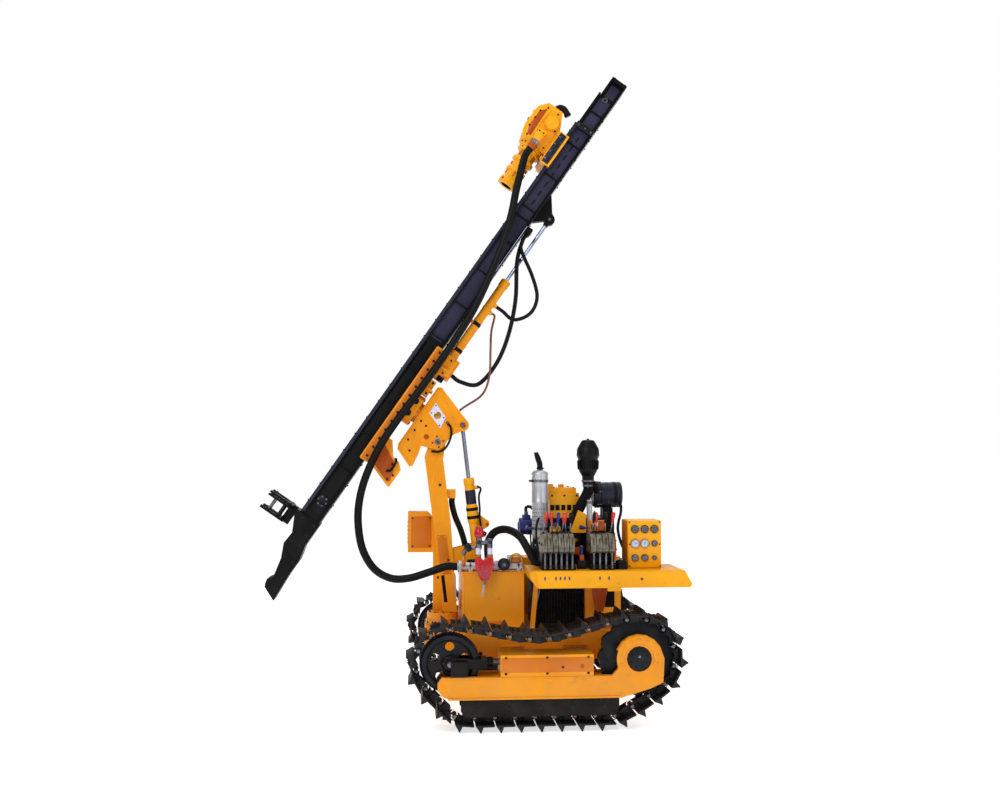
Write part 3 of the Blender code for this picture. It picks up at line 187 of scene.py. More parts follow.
def metal(
    name, colour, dark, rough=0.35, metallic=1.0, scale=14.0, stretch=(1, 1, 1), bump=0.12, rust=None,
):
    n = Nodes(name)
    base = n.ramp(
        n.noise(scale, 7.0, 0.62, n.scaled(stretch)), [(0.34, linear(dark)), (0.66, linear(colour))],
    )
    if rust:
        spots = n.ramp(n.noise(9.0, 9.0, 0.7), [(0.56, 0.0), (0.7, 0.85)])
        base = n.mix(spots, base, linear(rust))
    n.link(base, n.shader.inputs["Base Color"])
    n.link(
        n.ramp(n.noise(scale * 2, 5.0), [(0.3, rough - 0.1), (0.75, rough + 0.16)]),
        n.shader.inputs["Roughness"],
    )
    n.give("Metallic", metallic)
    n.bump(n.noise(scale * 9, 4.0, 0.6, n.scaled(stretch)), bump, 0.001)
    return n.material


def hose_look(name, colour, shade, band=1.0):
    """Wrapped rubber: fine rings of the cloth it was cured in."""
    n = Nodes(name)
    n.link(
        n.ramp(n.noise(8.0, 6.0), [(0.3, linear(shade)), (0.7, linear(colour))]),
        n.shader.inputs["Base Color"],
    )
    n.give("Roughness", 0.46)
    n.give("Specular IOR Level", 0.15)
    wave = n.tree.nodes.new("ShaderNodeTexWave")
    wave.bands_direction = "DIAGONAL"
    wave.inputs["Scale"].default_value = 90.0 * band
    wave.inputs["Distortion"].default_value = 0.6
    n.link(n.place, wave.inputs["Vector"])
    n.bump(wave.outputs["Fac"], 0.18, 0.0008)
    return n.material


def plain(name, colour, shade, rough=0.4, metallic=0.0, scale=20.0, coat=0.0, shine=0.35):
    n = Nodes(name)
    n.link(
        n.ramp(n.noise(scale, 5.0), [(0.3, linear(shade)), (0.7, linear(colour))]),
        n.shader.inputs["Base Color"],
    )
    n.link(n.ramp(n.noise(scale * 2), [(0.3, rough), (0.7, rough + 0.1)]), n.shader.inputs["Roughness"])
    n.give("Metallic", metallic)
    n.give("Coat Weight", coat)
    n.give("Specular IOR Level", shine)
    n.bump(n.noise(scale * 12), 0.06, 0.0005)
    return n.material


ORANGE = paint("orange_enamel", "EC9805", "DE8804")
YELLOW = paint("yellow_enamel", "F0A60C", "E69A08", dirt_share=0.35)
# Painted shade: the next two are darker copies of the orange enamel. They stand for its look in shade and
# are laid on parts and faces that lie in shade.
SHADE_ORANGE = paint("painted_shade_orange_enamel", "CF7410", "BC620C", dirt_share=0.4)
DARKER_SHADE_ORANGE = paint("shaded_orange_enamel", "B34E0C", "963C08", dirt_share=0.5)
BLACK = paint(
    "black_enamel", "0A0A0D", "050507", dirt="1A1714", rough=0.42, coat=0.0, dirt_share=0.35, shine=0.14,
    dust=0.08,
)
# Painted sheen: a blue-grey that stands for light on the mast's dark web, laid on its upper part only.
WEB_SHEEN = paint(
    "mast_web_painted_sheen", "323148", "242336", dirt="16161C", rough=0.42, coat=0.0, dirt_share=0.6, shine=0.15,
    dust=0.1,
)
TRACK = metal("track_steel", "16161B", "060608", 0.52, 0.35, 9.0, rust="17110D", bump=0.35)
WORN = metal("worn_steel", "85858C", "4C4C52", 0.36, 1.0, 20.0)
DARK_STEEL = metal("dark_steel", "1E1E24", "0C0C10", 0.45, 0.6, 16.0)
CHROME = metal("chrome_rod", "8E94AC", "6C7188", 0.16, 1.0, 6.0, bump=0.03)
SILVER = metal("silver_heat_paint", "C9CCD2", "A2A5AB", 0.38, 0.55, 9.0, (1, 1, 0.15))
ALLOY = metal("cast_alloy", "8A8474", "5C5646", 0.42, 0.6, 22.0)
BRASS = metal("brass_fitting", "D2A046", "9A7026", 0.3, 1.0, 18.0)
RED = plain("red_gloss", "CC0F22", "A00A18", 0.25, coat=0.4)
SCARLET = plain("scarlet_knob", "E0201A", "B8140F", 0.25, coat=0.4)
NAVY = plain("navy_gloss", "1C2A86", "131B55", 0.3, coat=0.15)
NAVY_BLACK = plain("navy_black", "25283A", "161826", 0.36, shine=0.25)
HOSE = hose_look("black_hose", "09090B", "040405")
PINK_HOSE = hose_look("red_hose", "8A5650", "5C3934", 1.6)
RUBBER = plain("black_rubber", "0A0A0C", "050506", 0.6, shine=0.12)
PLASTIC = plain("black_plastic", "0A0A0E", "050507", 0.38, shine=0.18)
WHITE = plain("pale_plate", "DADAF2", "C6C6E4", 0.35)
# Pale lilac: the colour of printed dial marks and a pale drain tube. Where it lies as thin strips along
# edges of the post, boom head and mast, it is painted highlight.
PALE_AND_HIGHLIGHT = plain("pale_and_painted_highlight", "BDBCD8", "9E9DC0", 0.4)
DIAL = plain("dial_dark", "161A34", "0C0F20", 0.35, shine=0.15)
DIAL_PALE = plain("dial_pale", "C6CEDC", "A8B2C4", 0.3)
DIAL_GREY = plain("dial_grey", "4A5068", "363B50", 0.3)
glass = Nodes("dial_glass")
glass.link(
    glass.ramp(
        glass.noise(30.0), [(0.3, linear("EDF2F8")), (0.7, linear("FFFFFF"))],
    ), glass.shader.inputs["Base Color"]
)
glass.give("Roughness", 0.04)
glass.give("Alpha", 0.05)
glass.give("Specular IOR Level", 0.2)
GLASS = glass.material


# Making pieces
def put(name, data):
    """A new object in the scene."""
    made = bpy.data.objects.new(name, data)
    bpy.context.scene.collection.objects.link(made)
    return made


def across(direction):
    """Two unit vectors square to a direction."""
    direction = Vector(direction).normalized()
    helper = Vector(UP) if abs(direction.z) < 0.9 else Vector(AHEAD)
    one = direction.cross(helper).normalized()
    return one, direction.cross(one).normalized()


def curve(points, spacing):
    """Points on a smooth curve through the given ones, about a spacing apart."""
    places = [Vector(p) for p in points]
    ends = [places[0] * 2 - places[1]] + places + [places[-1] * 2 - places[-2]]
    out = []
    for a, b, c, d in zip(ends, ends[1:], ends[2:], ends[3:]):
        steps = max(1, round((c - b).length / spacing))
        for step in range(steps):
            t = step / steps
            out.append(
                0.5 * (
                    2 * b + (c - a) * t + (
                        2 * a - 5 * b + 4 * c - d
                    ) * t * t + (3 * b - a - 3 * c + d) * t**3
                )
            )
    out.append(places[-1])
    return out


def around(count, radius, first=0.0):
    """Places round a circle, the first one a share of a step past the start."""
    turns = [math.tau * (step + first) / count for step in range(count)]
    return [(radius * math.cos(turn), radius * math.sin(turn)) for turn in turns]


def rectangle(left, low, right, high):
    return [(left, low), (right, low), (right, high), (left, high)]


class Kit:
    """Collects shapes of several looks into one piece."""

    def __init__(self, place=WORLD):
        self.bm = bmesh.new()
        self.place = place
        self.looks = []
        self.now = 0

    def use(self, look):
        if look not in self.looks:
            self.looks.append(look)
        self.now = self.looks.index(look)
        return self

    def _mark(self, faces):
        for face in faces:
            face.material_index = self.now

    def _soften(self, faces, width, segments=2, sharper=30):
        if width <= 0:
            return
        edges = {e for f in faces for e in f.edges if len(e.link_faces) == 2}
        limit = math.radians(sharper)
        edges = [e for e in edges if e.calc_face_angle(0) > limit]
        made = bmesh.ops.bevel(
            self.bm,
            geom=edges,
            offset=width,
            segments=segments,
            affect="EDGES",
            profile=0.5,
            clamp_overlap=True,
        )
        self._mark(made["faces"])

    def box(self, low, high, soft=0.004, turn=None):
        low, high = Vector(low), Vector(high)
        size = high - low
        matrix = Matrix.Translation((low + high) / 2)
        if turn is not None:
            matrix = matrix @ turn
        matrix = matrix @ Matrix.Diagonal((*size, 1.0))
        made = bmesh.ops.create_cube(self.bm, size=1.0, matrix=matrix)
        faces = {f for v in made["verts"] for f in v.link_faces}
        self._mark(faces)
        self._soften(faces, min(soft, min(abs(c) for c in size) * 0.3))
        return self

    def rod(self, start, end, radius, sides=24, soft=0.0, end_radius=None):
        start, end = Vector(start), Vector(end)
        way = end - start
        turn = way.to_track_quat("Z", "Y").to_matrix().to_4x4()
        made = bmesh.ops.create_cone(
            self.bm,
            cap_ends=True,
            segments=sides,
            radius1=radius,
            radius2=radius if end_radius is None else end_radius,
            depth=way.length,
            matrix=Matrix.Translation((start + end) / 2) @ turn,
        )
        faces = {f for v in made["verts"] for f in v.link_faces}
        self._mark(faces)
        self._soften(faces, soft, 2, 50)
        return self

    def turned(self, profile, start, way, sides=32):
        """A profile of radius and distance along the axis, turned round it."""
        start, way = Vector(start), Vector(way).normalized()
        one, two = across(way)
        rings = []
        for radius, along in profile:
            middle = start + way * along
            if radius < 1e-5:
                rings.append([self.bm.verts.new(middle)])
                continue
            ring = []
            for step in range(sides):
                turn = math.tau * step / sides
                ring.append(
                    self.bm.verts.new(middle + (one * math.cos(turn) + two * math.sin(turn)) * radius)
                )
            rings.append(ring)
        faces = []
        for a, b in zip(rings, rings[1:]):
            for step in range(sides):
                after = (step + 1) % sides
                if len(a) == 1 and len(b) == 1:
                    continue
                if len(a) == 1:
                    faces.append(self.bm.faces.new((a[0], b[after], b[step])))
                elif len(b) == 1:
                    faces.append(self.bm.faces.new((a[step], a[after], b[0])))
                else:
                    faces.append(self.bm.faces.new((a[step], a[after], b[after], b[step])))
        self._mark(faces)
        bmesh.ops.recalc_face_normals(self.bm, faces=faces)
        return self

    def band(self, inside, outside, half, flat, middle, way, sides):
        """A clamp band about a round piece: its half width at the piece and on its outside."""
        profile = ((inside, -half), (outside, -flat), (outside, flat), (inside, half))
        return self.turned(profile, middle, way, sides)

    def plate(self, outline, origin, one, two, thickness, soft=0.003):
        """A flat plate: an outline along two directions from a place, half its thickness each way."""
        origin, one, two = Vector(origin), Vector(one).normalized(), Vector(two).normalized()
        normal = one.cross(two).normalized() * (thickness / 2)
        rows = []
        for side in (-1, 1):
            rows.append([self.bm.verts.new(origin + one * a + two * b + normal * side) for a, b in outline])
        count = len(outline)
        faces = [self.bm.faces.new(rows[0][::-1]), self.bm.faces.new(rows[1])]
        for i in range(count):
            j = (i + 1) % count
            faces.append(self.bm.faces.new((rows[0][i], rows[0][j], rows[1][j], rows[1][i])))
        self._mark(faces)
        bmesh.ops.recalc_face_normals(self.bm, faces=faces)
        self._soften(faces, soft, 2, 25)
        return self

    def flat(self, outline, place, thickness, soft=0.003):
        """A plate that faces sideways, its outline along x and up z from a place."""
        return self.plate(outline, place, AHEAD, UP, thickness, soft)

    def bead(self, start, end, radius):
        """A thin straight bead, such as a weld."""
        return self.tube([start, end], radius, 8, smooth=False)

    def tube(self, points, radius, sides=12, spacing=None, smooth=True, radii=None):
        """A round tube along points, closed at both ends."""
        path = curve(points, spacing or max(radius * 1.6, 0.008)) if smooth else [Vector(p) for p in points]
        ways = [(b - a).normalized() for a, b in zip(path, path[1:])]
        ways = [ways[0]] + [
            ((a + b).normalized() if (a + b).length > 1e-6 else b)
            for a, b in zip(ways, ways[1:])
        ] + [ways[-1]]
        one, _ = across(ways[0])
        rings = []
        for index, (point, way) in enumerate(zip(path, ways)):
            one = (one - way * one.dot(way)).normalized()
            two = way.cross(one)
            size = radius if radii is None else radius * radii(index / (len(path) - 1))
            rings.append(
                [
                    self.bm.verts.new(
                        point + (
                            one * math.cos(math.tau * s / sides) + two * math.sin(math.tau * s / sides)
                        ) * size
                    )
                    for s in range(sides)
                ]
            )
        faces = [self.bm.faces.new(rings[0][::-1]), self.bm.faces.new(rings[-1])]
        for a, b in zip(rings, rings[1:]):
            for s in range(sides):
                t = (s + 1) % sides
                faces.append(self.bm.faces.new((a[s], a[t], b[t], b[s])))
        self._mark(faces)
        return self

    def ring(self, middle, way, big, small, sides=32, across_sides=10):
        middle, way = Vector(middle), Vector(way).normalized()
        one, two = across(way)
        points = []
        for step in range(sides):
            turn = math.tau * step / sides
            points.append((middle + (one * math.cos(turn) + two * math.sin(turn)) * big, turn))
        rings = []
        for point, turn in points:
            out = (one * math.cos(turn) + two * math.sin(turn)).normalized()
            rings.append(
                [
                    self.bm.verts.new(
                        point + (
                            out * math.cos(
                                math.tau * s / across_sides
                            ) + way * math.sin(math.tau * s / across_sides)
                        ) * small
                    )
                    for s in range(across_sides)
                ]
            )
        faces = []
        for i in range(sides):
            a, b = rings[i], rings[(i + 1) % sides]
            for s in range(across_sides):
                t = (s + 1) % across_sides
                faces.append(self.bm.faces.new((a[s], a[t], b[t], b[s])))
        self._mark(faces)
        bmesh.ops.recalc_face_normals(self.bm, faces=faces)
        return self

    def bolt(self, place, way, size=0.012, washer=True):
        """A hexagon head on its washer, standing out of a face along its outward direction."""
        place, way = Vector(place), Vector(way).normalized()
        if washer:
            self.rod(place - way * 0.001, place + way * size * 0.18, size * 1.25, 16)
        self.rod(place, place + way * size * 0.8, size, 6, size * 0.12)
        return self

    def screw(self, place, way, size=0.012, washer=True):
        return self.use(DARK_STEEL).bolt(place, way, size, washer)

    def bolts(self, places, way, size=0.012):
        for place in places:
            self.bolt(place, way, size)
        return self

    def drill(self, holes):
        made = bpy.data.meshes.new("blank")
        self.bm.to_mesh(made)
        blank = put("blank", made)
        tool = Kit()
        for start, end, radius in holes:
            tool.rod(start, end, radius, 32)
        cutting = bpy.data.meshes.new("cutter")
        tool.bm.to_mesh(cutting)
        tool.bm.free()
        cutter = put("cutter", cutting)
        for look in self.looks:
            made.materials.append(look)
        step = blank.modifiers.new("holes", "BOOLEAN")
        step.operation = "DIFFERENCE"
        step.solver = "EXACT"
        step.object = cutter
        step.use_self = True
        solid = blank.evaluated_get(bpy.context.evaluated_depsgraph_get())
        self.bm.clear()
        self.bm.from_mesh(solid.to_mesh())
        for piece in (blank, cutter):
            bpy.data.objects.remove(piece)
        for face in self.bm.faces:
            face.material_index = min(face.material_index, len(self.looks) - 1)
        return self

    def done(self, name, body, slot, replaces=(), smooth=35, other=None, ends=None):
        mesh = bpy.data.meshes.new(name)
        self.bm.transform(self.place)
        bmesh.ops.remove_doubles(self.bm, verts=self.bm.verts, dist=1e-6)
        self.bm.to_mesh(mesh)
        self.bm.free()
        piece = put(name, mesh)
        for look in self.looks:
            mesh.materials.append(look)
        mesh.shade_smooth()
        mesh.set_sharp_from_angle(angle=math.radians(smooth))
        if other:
            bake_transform(piece)
        else:
            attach(piece, body)
        if replaces:
            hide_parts(*replaces)
        return piece


def dress(name, look, soft=0.004):
    """A CAD node that stays: its look and a small rounding of its edges."""
    piece = NODES[name]
    if piece.material_slots:
        for slot in piece.material_slots:
            slot.material = look
    else:
        piece.data.materials.append(look)
    if soft > 0:
        edge = piece.modifiers.new("edges", "BEVEL")
        edge.width = soft
        edge.segments = 2
        edge.limit_method = "ANGLE"
        edge.angle_limit = math.radians(38)
        edge.use_clamp_overlap = True
        edge.harden_normals = False


# Camera, floor and light
CAMERA_PLACE = (0.44, 8.86, 1.99)
CAMERA_YAW = math.radians(4.7)
CAMERA_PITCH = math.radians(2.7)
camera = put("camera", bpy.data.cameras.new("camera"))
bpy.context.scene.camera = camera
camera.location = CAMERA_PLACE
camera.data.lens = 39.6
camera.data.sensor_width = 36.0
looking = Vector(
    (
        -math.sin(CAMERA_YAW) * math.cos(CAMERA_PITCH),
        -math.cos(CAMERA_YAW) * math.cos(CAMERA_PITCH),
        math.sin(CAMERA_PITCH),
    )
)
camera.rotation_mode = "QUATERNION"
camera.rotation_quaternion = looking.to_track_quat("-Z", "Y")

world = bpy.data.worlds.new("studio")
bpy.context.scene.world = world
world.use_nodes = True
sky = world.node_tree
soft_sky = sky.nodes["Background"]
soft_sky.inputs["Color"].default_value = (1.0, 1.0, 1.0, 1.0)
soft_sky.inputs["Strength"].default_value = 0.4
backdrop = sky.nodes.new("ShaderNodeBackground")
backdrop.inputs["Color"].default_value = (1.0, 1.0, 1.0, 1.0)
backdrop.inputs["Strength"].default_value = 1.0
seen = sky.nodes.new("ShaderNodeLightPath")
either = sky.nodes.new("ShaderNodeMixShader")
sky.links.new(seen.outputs["Is Camera Ray"], either.inputs["Fac"])
sky.links.new(soft_sky.outputs["Background"], either.inputs[1])
sky.links.new(backdrop.outputs["Background"], either.inputs[2])
sky.links.new(either.outputs["Shader"], sky.nodes["World Output"].inputs["Surface"])
bpy.context.scene.view_settings.view_transform = "Standard"

floor_mesh = bpy.data.meshes.new("floor")
floor_mesh.from_pydata(
    [(-60, -60, -0.002), (60, -60, -0.002), (60, 60, -0.002), (-60, 60, -0.002)], [], [(0, 1, 2, 3)],
)
floor = put("floor", floor_mesh)
pale = Nodes("pale_floor")
pale.link(
    pale.ramp(pale.noise(0.6, 2.0), [(0.3, linear("F4F4F4")), (0.7, linear("FAFAFA"))]),
    pale.shader.inputs["Base Color"],
)
pale.give("Roughness", 0.9)
pale.give("Specular IOR Level", 0.1)
pale.give("Emission Color", (1.0, 1.0, 1.0, 1.0))
pale.give("Emission Strength", 0.66)
floor.data.materials.append(pale.material)

for name, place, size, power in (
    ("key", (3.5, 6.5, 6.5), 4.0, 275),
    ("fill", (-5.5, 5.0, 4.0), 5.0, 95),
    ("back", (-2.0, -7.0, 6.0), 5.0, 160),
    ("top", (0.0, 0.0, 9.0), 6.0, 190),
):
    lamp = put(name, bpy.data.lights.new(name, "AREA"))
    lamp.data.size = size
    lamp.data.energy = power
    lamp.location = place
    lamp.rotation_mode = "QUATERNION"
    lamp.rotation_quaternion = (Vector((-0.2, 0.0, 2.0)) - Vector(place)).to_track_quat("-Z", "Y")


# CAD nodes that stay
KEPT = (
    # look, edge rounding, nodes
    (BLACK, 0.003, ("mast_beam", "rod_guide", "feed_motor")),
    (BLACK, 0.004, ("tensioner_left", "tensioner_right", "track_motor_left", "track_motor_right")),
    (BLACK, 0.006, ("engine_block", "mast_foot")),
    (CHROME, 0.0, ("tilt_rod", "feed_rod")),
    (DARK_STEEL, 0.0, ("top_sheave", "feed_sprocket")),
    (DARK_STEEL, 0.004, ("exhaust_manifold",)),
    (ORANGE, 0.005, ("track_frame_left", "track_frame_right", "turntable", "boom_head", "mast_carrier")),
    (ORANGE, 0.006, ("chassis_frame", "boom_post")),
    (ORANGE, 0.008, ("tank_box",)),
    (ORANGE, 0.012, ("fuel_tank",)),
    (SILVER, 0.0, ("air_pipe",)),
    (YELLOW, 0.004, ("console_deck", "feed_carriage")),
    (YELLOW, 0.008, ("engine_cover", "rotary_gearbox")),
)
for look, soft, names in KEPT:
    for name in names:
        dress(name, look, soft)


# Hoses
def hose(name, body, points, radius, look, other=None):
    """A hose fixed at both ends, on a smooth curve through its points, in place of the coarse one."""
    path = curve(points, 0.012)
    kit = Kit().use(look)
    kit.tube(path, radius, 16, smooth=False)
    piece = kit.done(name + "_look", body, "rubber", (name,), 60, other, points)


AIR_HOSE = (
    *on_mast(
        (0.745, 0.155, 2.3597), (0.745, 0.155, 2.29), (0.7, 0.18, 2.16), (0.635, 0.2, 1.99),
        (0.565, 0.205, 1.83), (0.485, 0.205, 1.6), (0.415, 0.205, 1.29), (0.365, 0.205, 0.97),
        (0.35, 0.205, 0.6), (0.352, 0.205, 0.25), (0.36, 0.207, -0.05), (0.352, 0.215, -0.3),
    ),
    (0.78, 0.24, 1.79), (0.828, 0.26, 1.59), (0.83, 0.28, 1.41), (0.793, 0.31, 1.235),
    (0.705, 0.335, 1.095), (0.577, 0.355, 1.025), (0.44, 0.362, 1.025), (0.29, 0.362, 1.068),
    (0.16, 0.36, 1.11), (0.0713, 0.36, 1.11),
)
LOOP_HOSE = (
    *on_mast((0.37, 0.085, 1.7797), (0.37, 0.085, 1.73)),
    (-0.455, 0.075, 3.62), (-0.545, 0.065, 3.41), (-0.585, 0.055, 3.24), (-0.53, 0.04, 3.11),
    (-0.4, 0.02, 3.06),
    *on_mast((0.175, 0.0, 1.17), (0.2347, 0.0, 1.17)),
)
LONG_HOSE = (
    *on_mast((0.37, 0.045, 1.7797), (0.37, 0.045, 1.73)),
    (-0.423, 0.05, 3.527), (-0.41, 0.05, 3.217), (-0.352, 0.05, 2.932), (-0.255, 0.045, 2.7),
    (-0.11, 0.035, 2.535),
    *on_mast((0.125, 0.03, 0.5), (0.2147, 0.03, 0.5)),
)
TOP_EDGE = Vector((-0.2975, 0.0, 0.9547))
PILOT_REST = Vector((0.0, 0.0855, 0.3028))
PILOT_HOSE = (
    *on_mast((0.2347, 0.0, 1.1), (0.205, 0.0, 1.1)),
    (-0.215, 0.04, 2.96), (-0.205, 0.085, 2.8), (-0.195, 0.098, 2.6), (-0.14, 0.09, 2.45),
    MAST @ (PILOT_REST + TOP_EDGE * 0.05), MAST @ (PILOT_REST + TOP_EDGE * 0.0003),
)
ARCH_HOSE = (
    (-0.175, 0.27, 1.0703), (-0.175, 0.27, 1.15), (-0.172, 0.29, 1.29), (-0.225, 0.35, 1.375),
    (-0.31, 0.43, 1.395), (-0.395, 0.53, 1.35), (-0.455, 0.59, 1.25), (-0.505, 0.6, 1.165),
    (-0.5407, 0.6, 1.165),
)
POST_HOSE = (
    (0.098, 0.0, 1.6194), (0.098, 0.0, 1.57), (0.072, 0.0, 1.47), (0.028, 0.0, 1.365),
    (-0.006, 0.0, 1.25), (-0.014, 0.0, 1.15), (-0.014, 0.0, 1.0703),
)
hose("air_hose", "drill_head", AIR_HOSE, 0.03, HOSE, other="mast")
hose("loop_hose", "mast", LOOP_HOSE, 0.015, HOSE, other="mast_carrier")
hose("long_hose", "mast", LONG_HOSE, 0.017, HOSE, other="mast_carrier")
hose("pilot_hose", "mast_carrier", PILOT_HOSE, 0.009, PINK_HOSE, other="boom_head")
hose("arch_hose", "chassis", ARCH_HOSE, 0.03, HOSE)
hose("post_hose", "swing_post", POST_HOSE, 0.024, HOSE, other="chassis")


# Tracks
def belt(idler_x):
    """Close points on the line of the track pins, as in the solids."""
    ground = GROUSER_TIP + TURN_RADIUS
    wheels = [
        (idler_x, IDLER_Z, IDLER_PIN_RADIUS),
        (*SPROCKET, DRIVE_RADIUS),
        (REAR_TURN_X, ground, TURN_RADIUS),
        (FRONT_TURN_X, ground, TURN_RADIUS),
    ]
    facing = []
    for one, two in zip(wheels, wheels[1:] + wheels[:1]):
        run = (two[0] - one[0], two[1] - one[1])
        facing.append(math.atan2(run[1], run[0]) - math.acos((one[2] - two[2]) / math.hypot(*run)))
    points = []
    for index, wheel in enumerate(wheels):
        first, last = facing[index - 1], facing[index]
        while last < first:
            last += math.tau
        steps = max(2, math.ceil((last - first) * wheel[2] / 0.004))
        for step in range(steps + 1):
            turn = first + (last - first) * step / steps
            points.append((wheel[0] + wheel[2] * math.cos(turn), wheel[1] + wheel[2] * math.sin(turn)))
        if index == 0:
            after = wheels[1]
            end = (after[0] + after[2] * math.cos(facing[0]), after[1] + after[2] * math.sin(facing[0]))
            start = points[-1]
            for step in range(1, 300):
                t = step / 300
                drop = TOP_SAG * math.sin(math.pi * t) ** 2
                points.append(
                    (start[0] + (end[0] - start[0]) * t, start[1] + (end[1] - start[1]) * t - drop)
                )
    return points


IDLER_X = 0.14636366
LINKS = 31


def chain_pins():
    line = belt(IDLER_X)
    line.append(line[0])
    places, walked, wanted = [], 0.0, 0.0
    for one, two in zip(line, line[1:]):
        step = math.dist(one, two)
        while len(places) < LINKS and walked + step >= wanted:
            t = (wanted - walked) / step if step else 0.0
            places.append((one[0] + (two[0] - one[0]) * t, one[1] + (two[1] - one[1]) * t))
            wanted += PITCH
        walked += step
    return places


PINS = chain_pins()


def link_half(pin_share, tail):
    """Half of a link's side: a round end about its pin and a flat tail, along the link and out of it."""
    outline = []
    for step in range(9):
        turn = math.radians(90 + 180 * step / 8)
        outline.append((pin_share * PITCH + tail * 0.027 * math.cos(turn), 0.027 * math.sin(turn)))
    reach = (pin_share + tail * -0.58) * PITCH
    outline += [(reach, -0.029), (reach, 0.0295)]
    return outline


def track(side, word):
    centre = side * TRACK_CENTRE
    kit = Kit()
    for index, here in enumerate(PINS):
        there = PINS[(index + 1) % LINKS]
        way = Vector((there[0] - here[0], 0.0, there[1] - here[1])).normalized()
        out = Vector((way.z, 0.0, -way.x))
        middle = Vector(((here[0] + there[0]) / 2, centre, (here[1] + there[1]) / 2))

        def at(along, height, y=0.0):
            return middle + way * (along * PITCH) + out * height + Vector((0, y, 0))

        kit.use(TRACK)
        top = PIN_TO_SHOE + SHOE_THICKNESS
        shoe = [
            (-0.485 * PITCH, PIN_TO_SHOE + 0.004),
            (-0.45 * PITCH, top - 0.001),
            (0.09 * PITCH, top),
            (0.165 * PITCH, GROUSER_TIP - 0.012),
            (0.2 * PITCH, GROUSER_TIP),
            (0.255 * PITCH, GROUSER_TIP),
            (0.3 * PITCH, GROUSER_TIP - 0.014),
            (0.43 * PITCH, top + 0.001),
            (0.485 * PITCH, PIN_TO_SHOE + 0.002),
            (0.4 * PITCH, PIN_TO_SHOE),
            (-0.44 * PITCH, PIN_TO_SHOE),
        ]
        kit.plate(shoe, middle, way, out, SHOE_WIDTH - 0.002, 0.002)
        for y in (-0.04, 0.04):
            for along in (-0.34, -0.08):
                kit.bolt(at(along, top - 0.001, y), out, 0.011)
        for edge in (-1, 1):
            back = link_half(-0.5, 1.0)
            front = link_half(0.5, -1.0)
            kit.plate(back, middle + Vector((0, edge * 0.034, 0)), way, out, 0.0118, 0.002)
            kit.plate(front, middle + Vector((0, edge * 0.046, 0)), way, out, 0.0118, 0.002)
        kit.rod(at(-0.5, 0.0, -0.034), at(-0.5, 0.0, 0.034), 0.015, 16)
        for edge in (-1, 1):
            pin = at(-0.5, 0.0, edge * 0.05)
            kit.use(DARK_STEEL).rod(pin, pin + Vector((0, edge * 0.006, 0)), 0.0185, 18, 0.002)
            kit.use(WORN).rod(pin, pin + Vector((0, edge * 0.012, 0)), 0.0135, 16, 0.002)
    kit.done("track_links_" + word, "chassis", "track_steel", ("track_" + word,), 30)

for one, word in ((1, "left"), (-1, "right")):
    track(one, word)


# Undercarriage: idlers, sprockets, frames and rollers
IDLER_CENTRE = (IDLER_X, IDLER_Z)
IDLER_RIM = 0.203727
FRAME_FACE = 0.12
ROLLERS = (-0.96, -0.73, -0.5, -0.27, -0.04)
ROLLER_Z = 0.1703


def idler(side, word):
    """A spoked wheel with a web, five holes, a flange in the middle and a capped hub."""
    centre = side * TRACK_CENTRE
    x, z = IDLER_CENTRE
    way = Vector((0, side, 0))
    middle = Vector((x, centre, z))
    kit = Kit().use(DARK_STEEL)
    web = IDLER_RIM - 0.036
    profile = (
        (0.0, 0.05), (0.038, 0.05), (0.05, 0.044), (0.055, 0.026), (0.064, 0.019), (web - 0.012, 0.019),
        (web, 0.028), (web, 0.049), (web + 0.005, 0.052), (IDLER_RIM - 0.004, 0.052), (IDLER_RIM, 0.048),
        (IDLER_RIM, 0.022), (IDLER_RIM + 0.011, 0.019), (IDLER_RIM + 0.014, 0.014),
        (IDLER_RIM + 0.014, -0.014),
        (IDLER_RIM + 0.011, -0.019), (IDLER_RIM, -0.022), (IDLER_RIM, -0.048), (IDLER_RIM - 0.004, -0.052),
        (web + 0.005, -0.052), (web, -0.049), (web, -0.028), (web - 0.012, -0.019), (0.064, -0.019),
        (0.055, -0.026), (0.05, -0.044), (0.038, -0.05), (0.0, -0.05),
    )
    kit.turned(profile, middle, way, 72)
    holes = []
    for a, b in around(5, 0.115, 0.25):
        place = middle + Vector((a, 0, b))
        holes.append((place - way * 0.08, place + way * 0.08, 0.034))
    kit.drill(holes)
    for a, b in around(5, 0.115, 0.25):
        place = middle + Vector((a, 0, b))
        kit.ring(place + way * 0.019, way, 0.037, 0.0035, 24, 6)
    kit.use(WORN).turned(
        ((0.0, 0.062), (0.018, 0.062), (0.026, 0.057), (0.026, 0.048)), middle, way, 24
    )
    for a, b in around(6, 0.04):
        kit.bolt(middle + Vector((a, 0, b)) + way * 0.0455, way, 0.006)
    kit.done("idler_wheel_" + word, "chassis", "track_steel", ("idler_" + word,), 30)


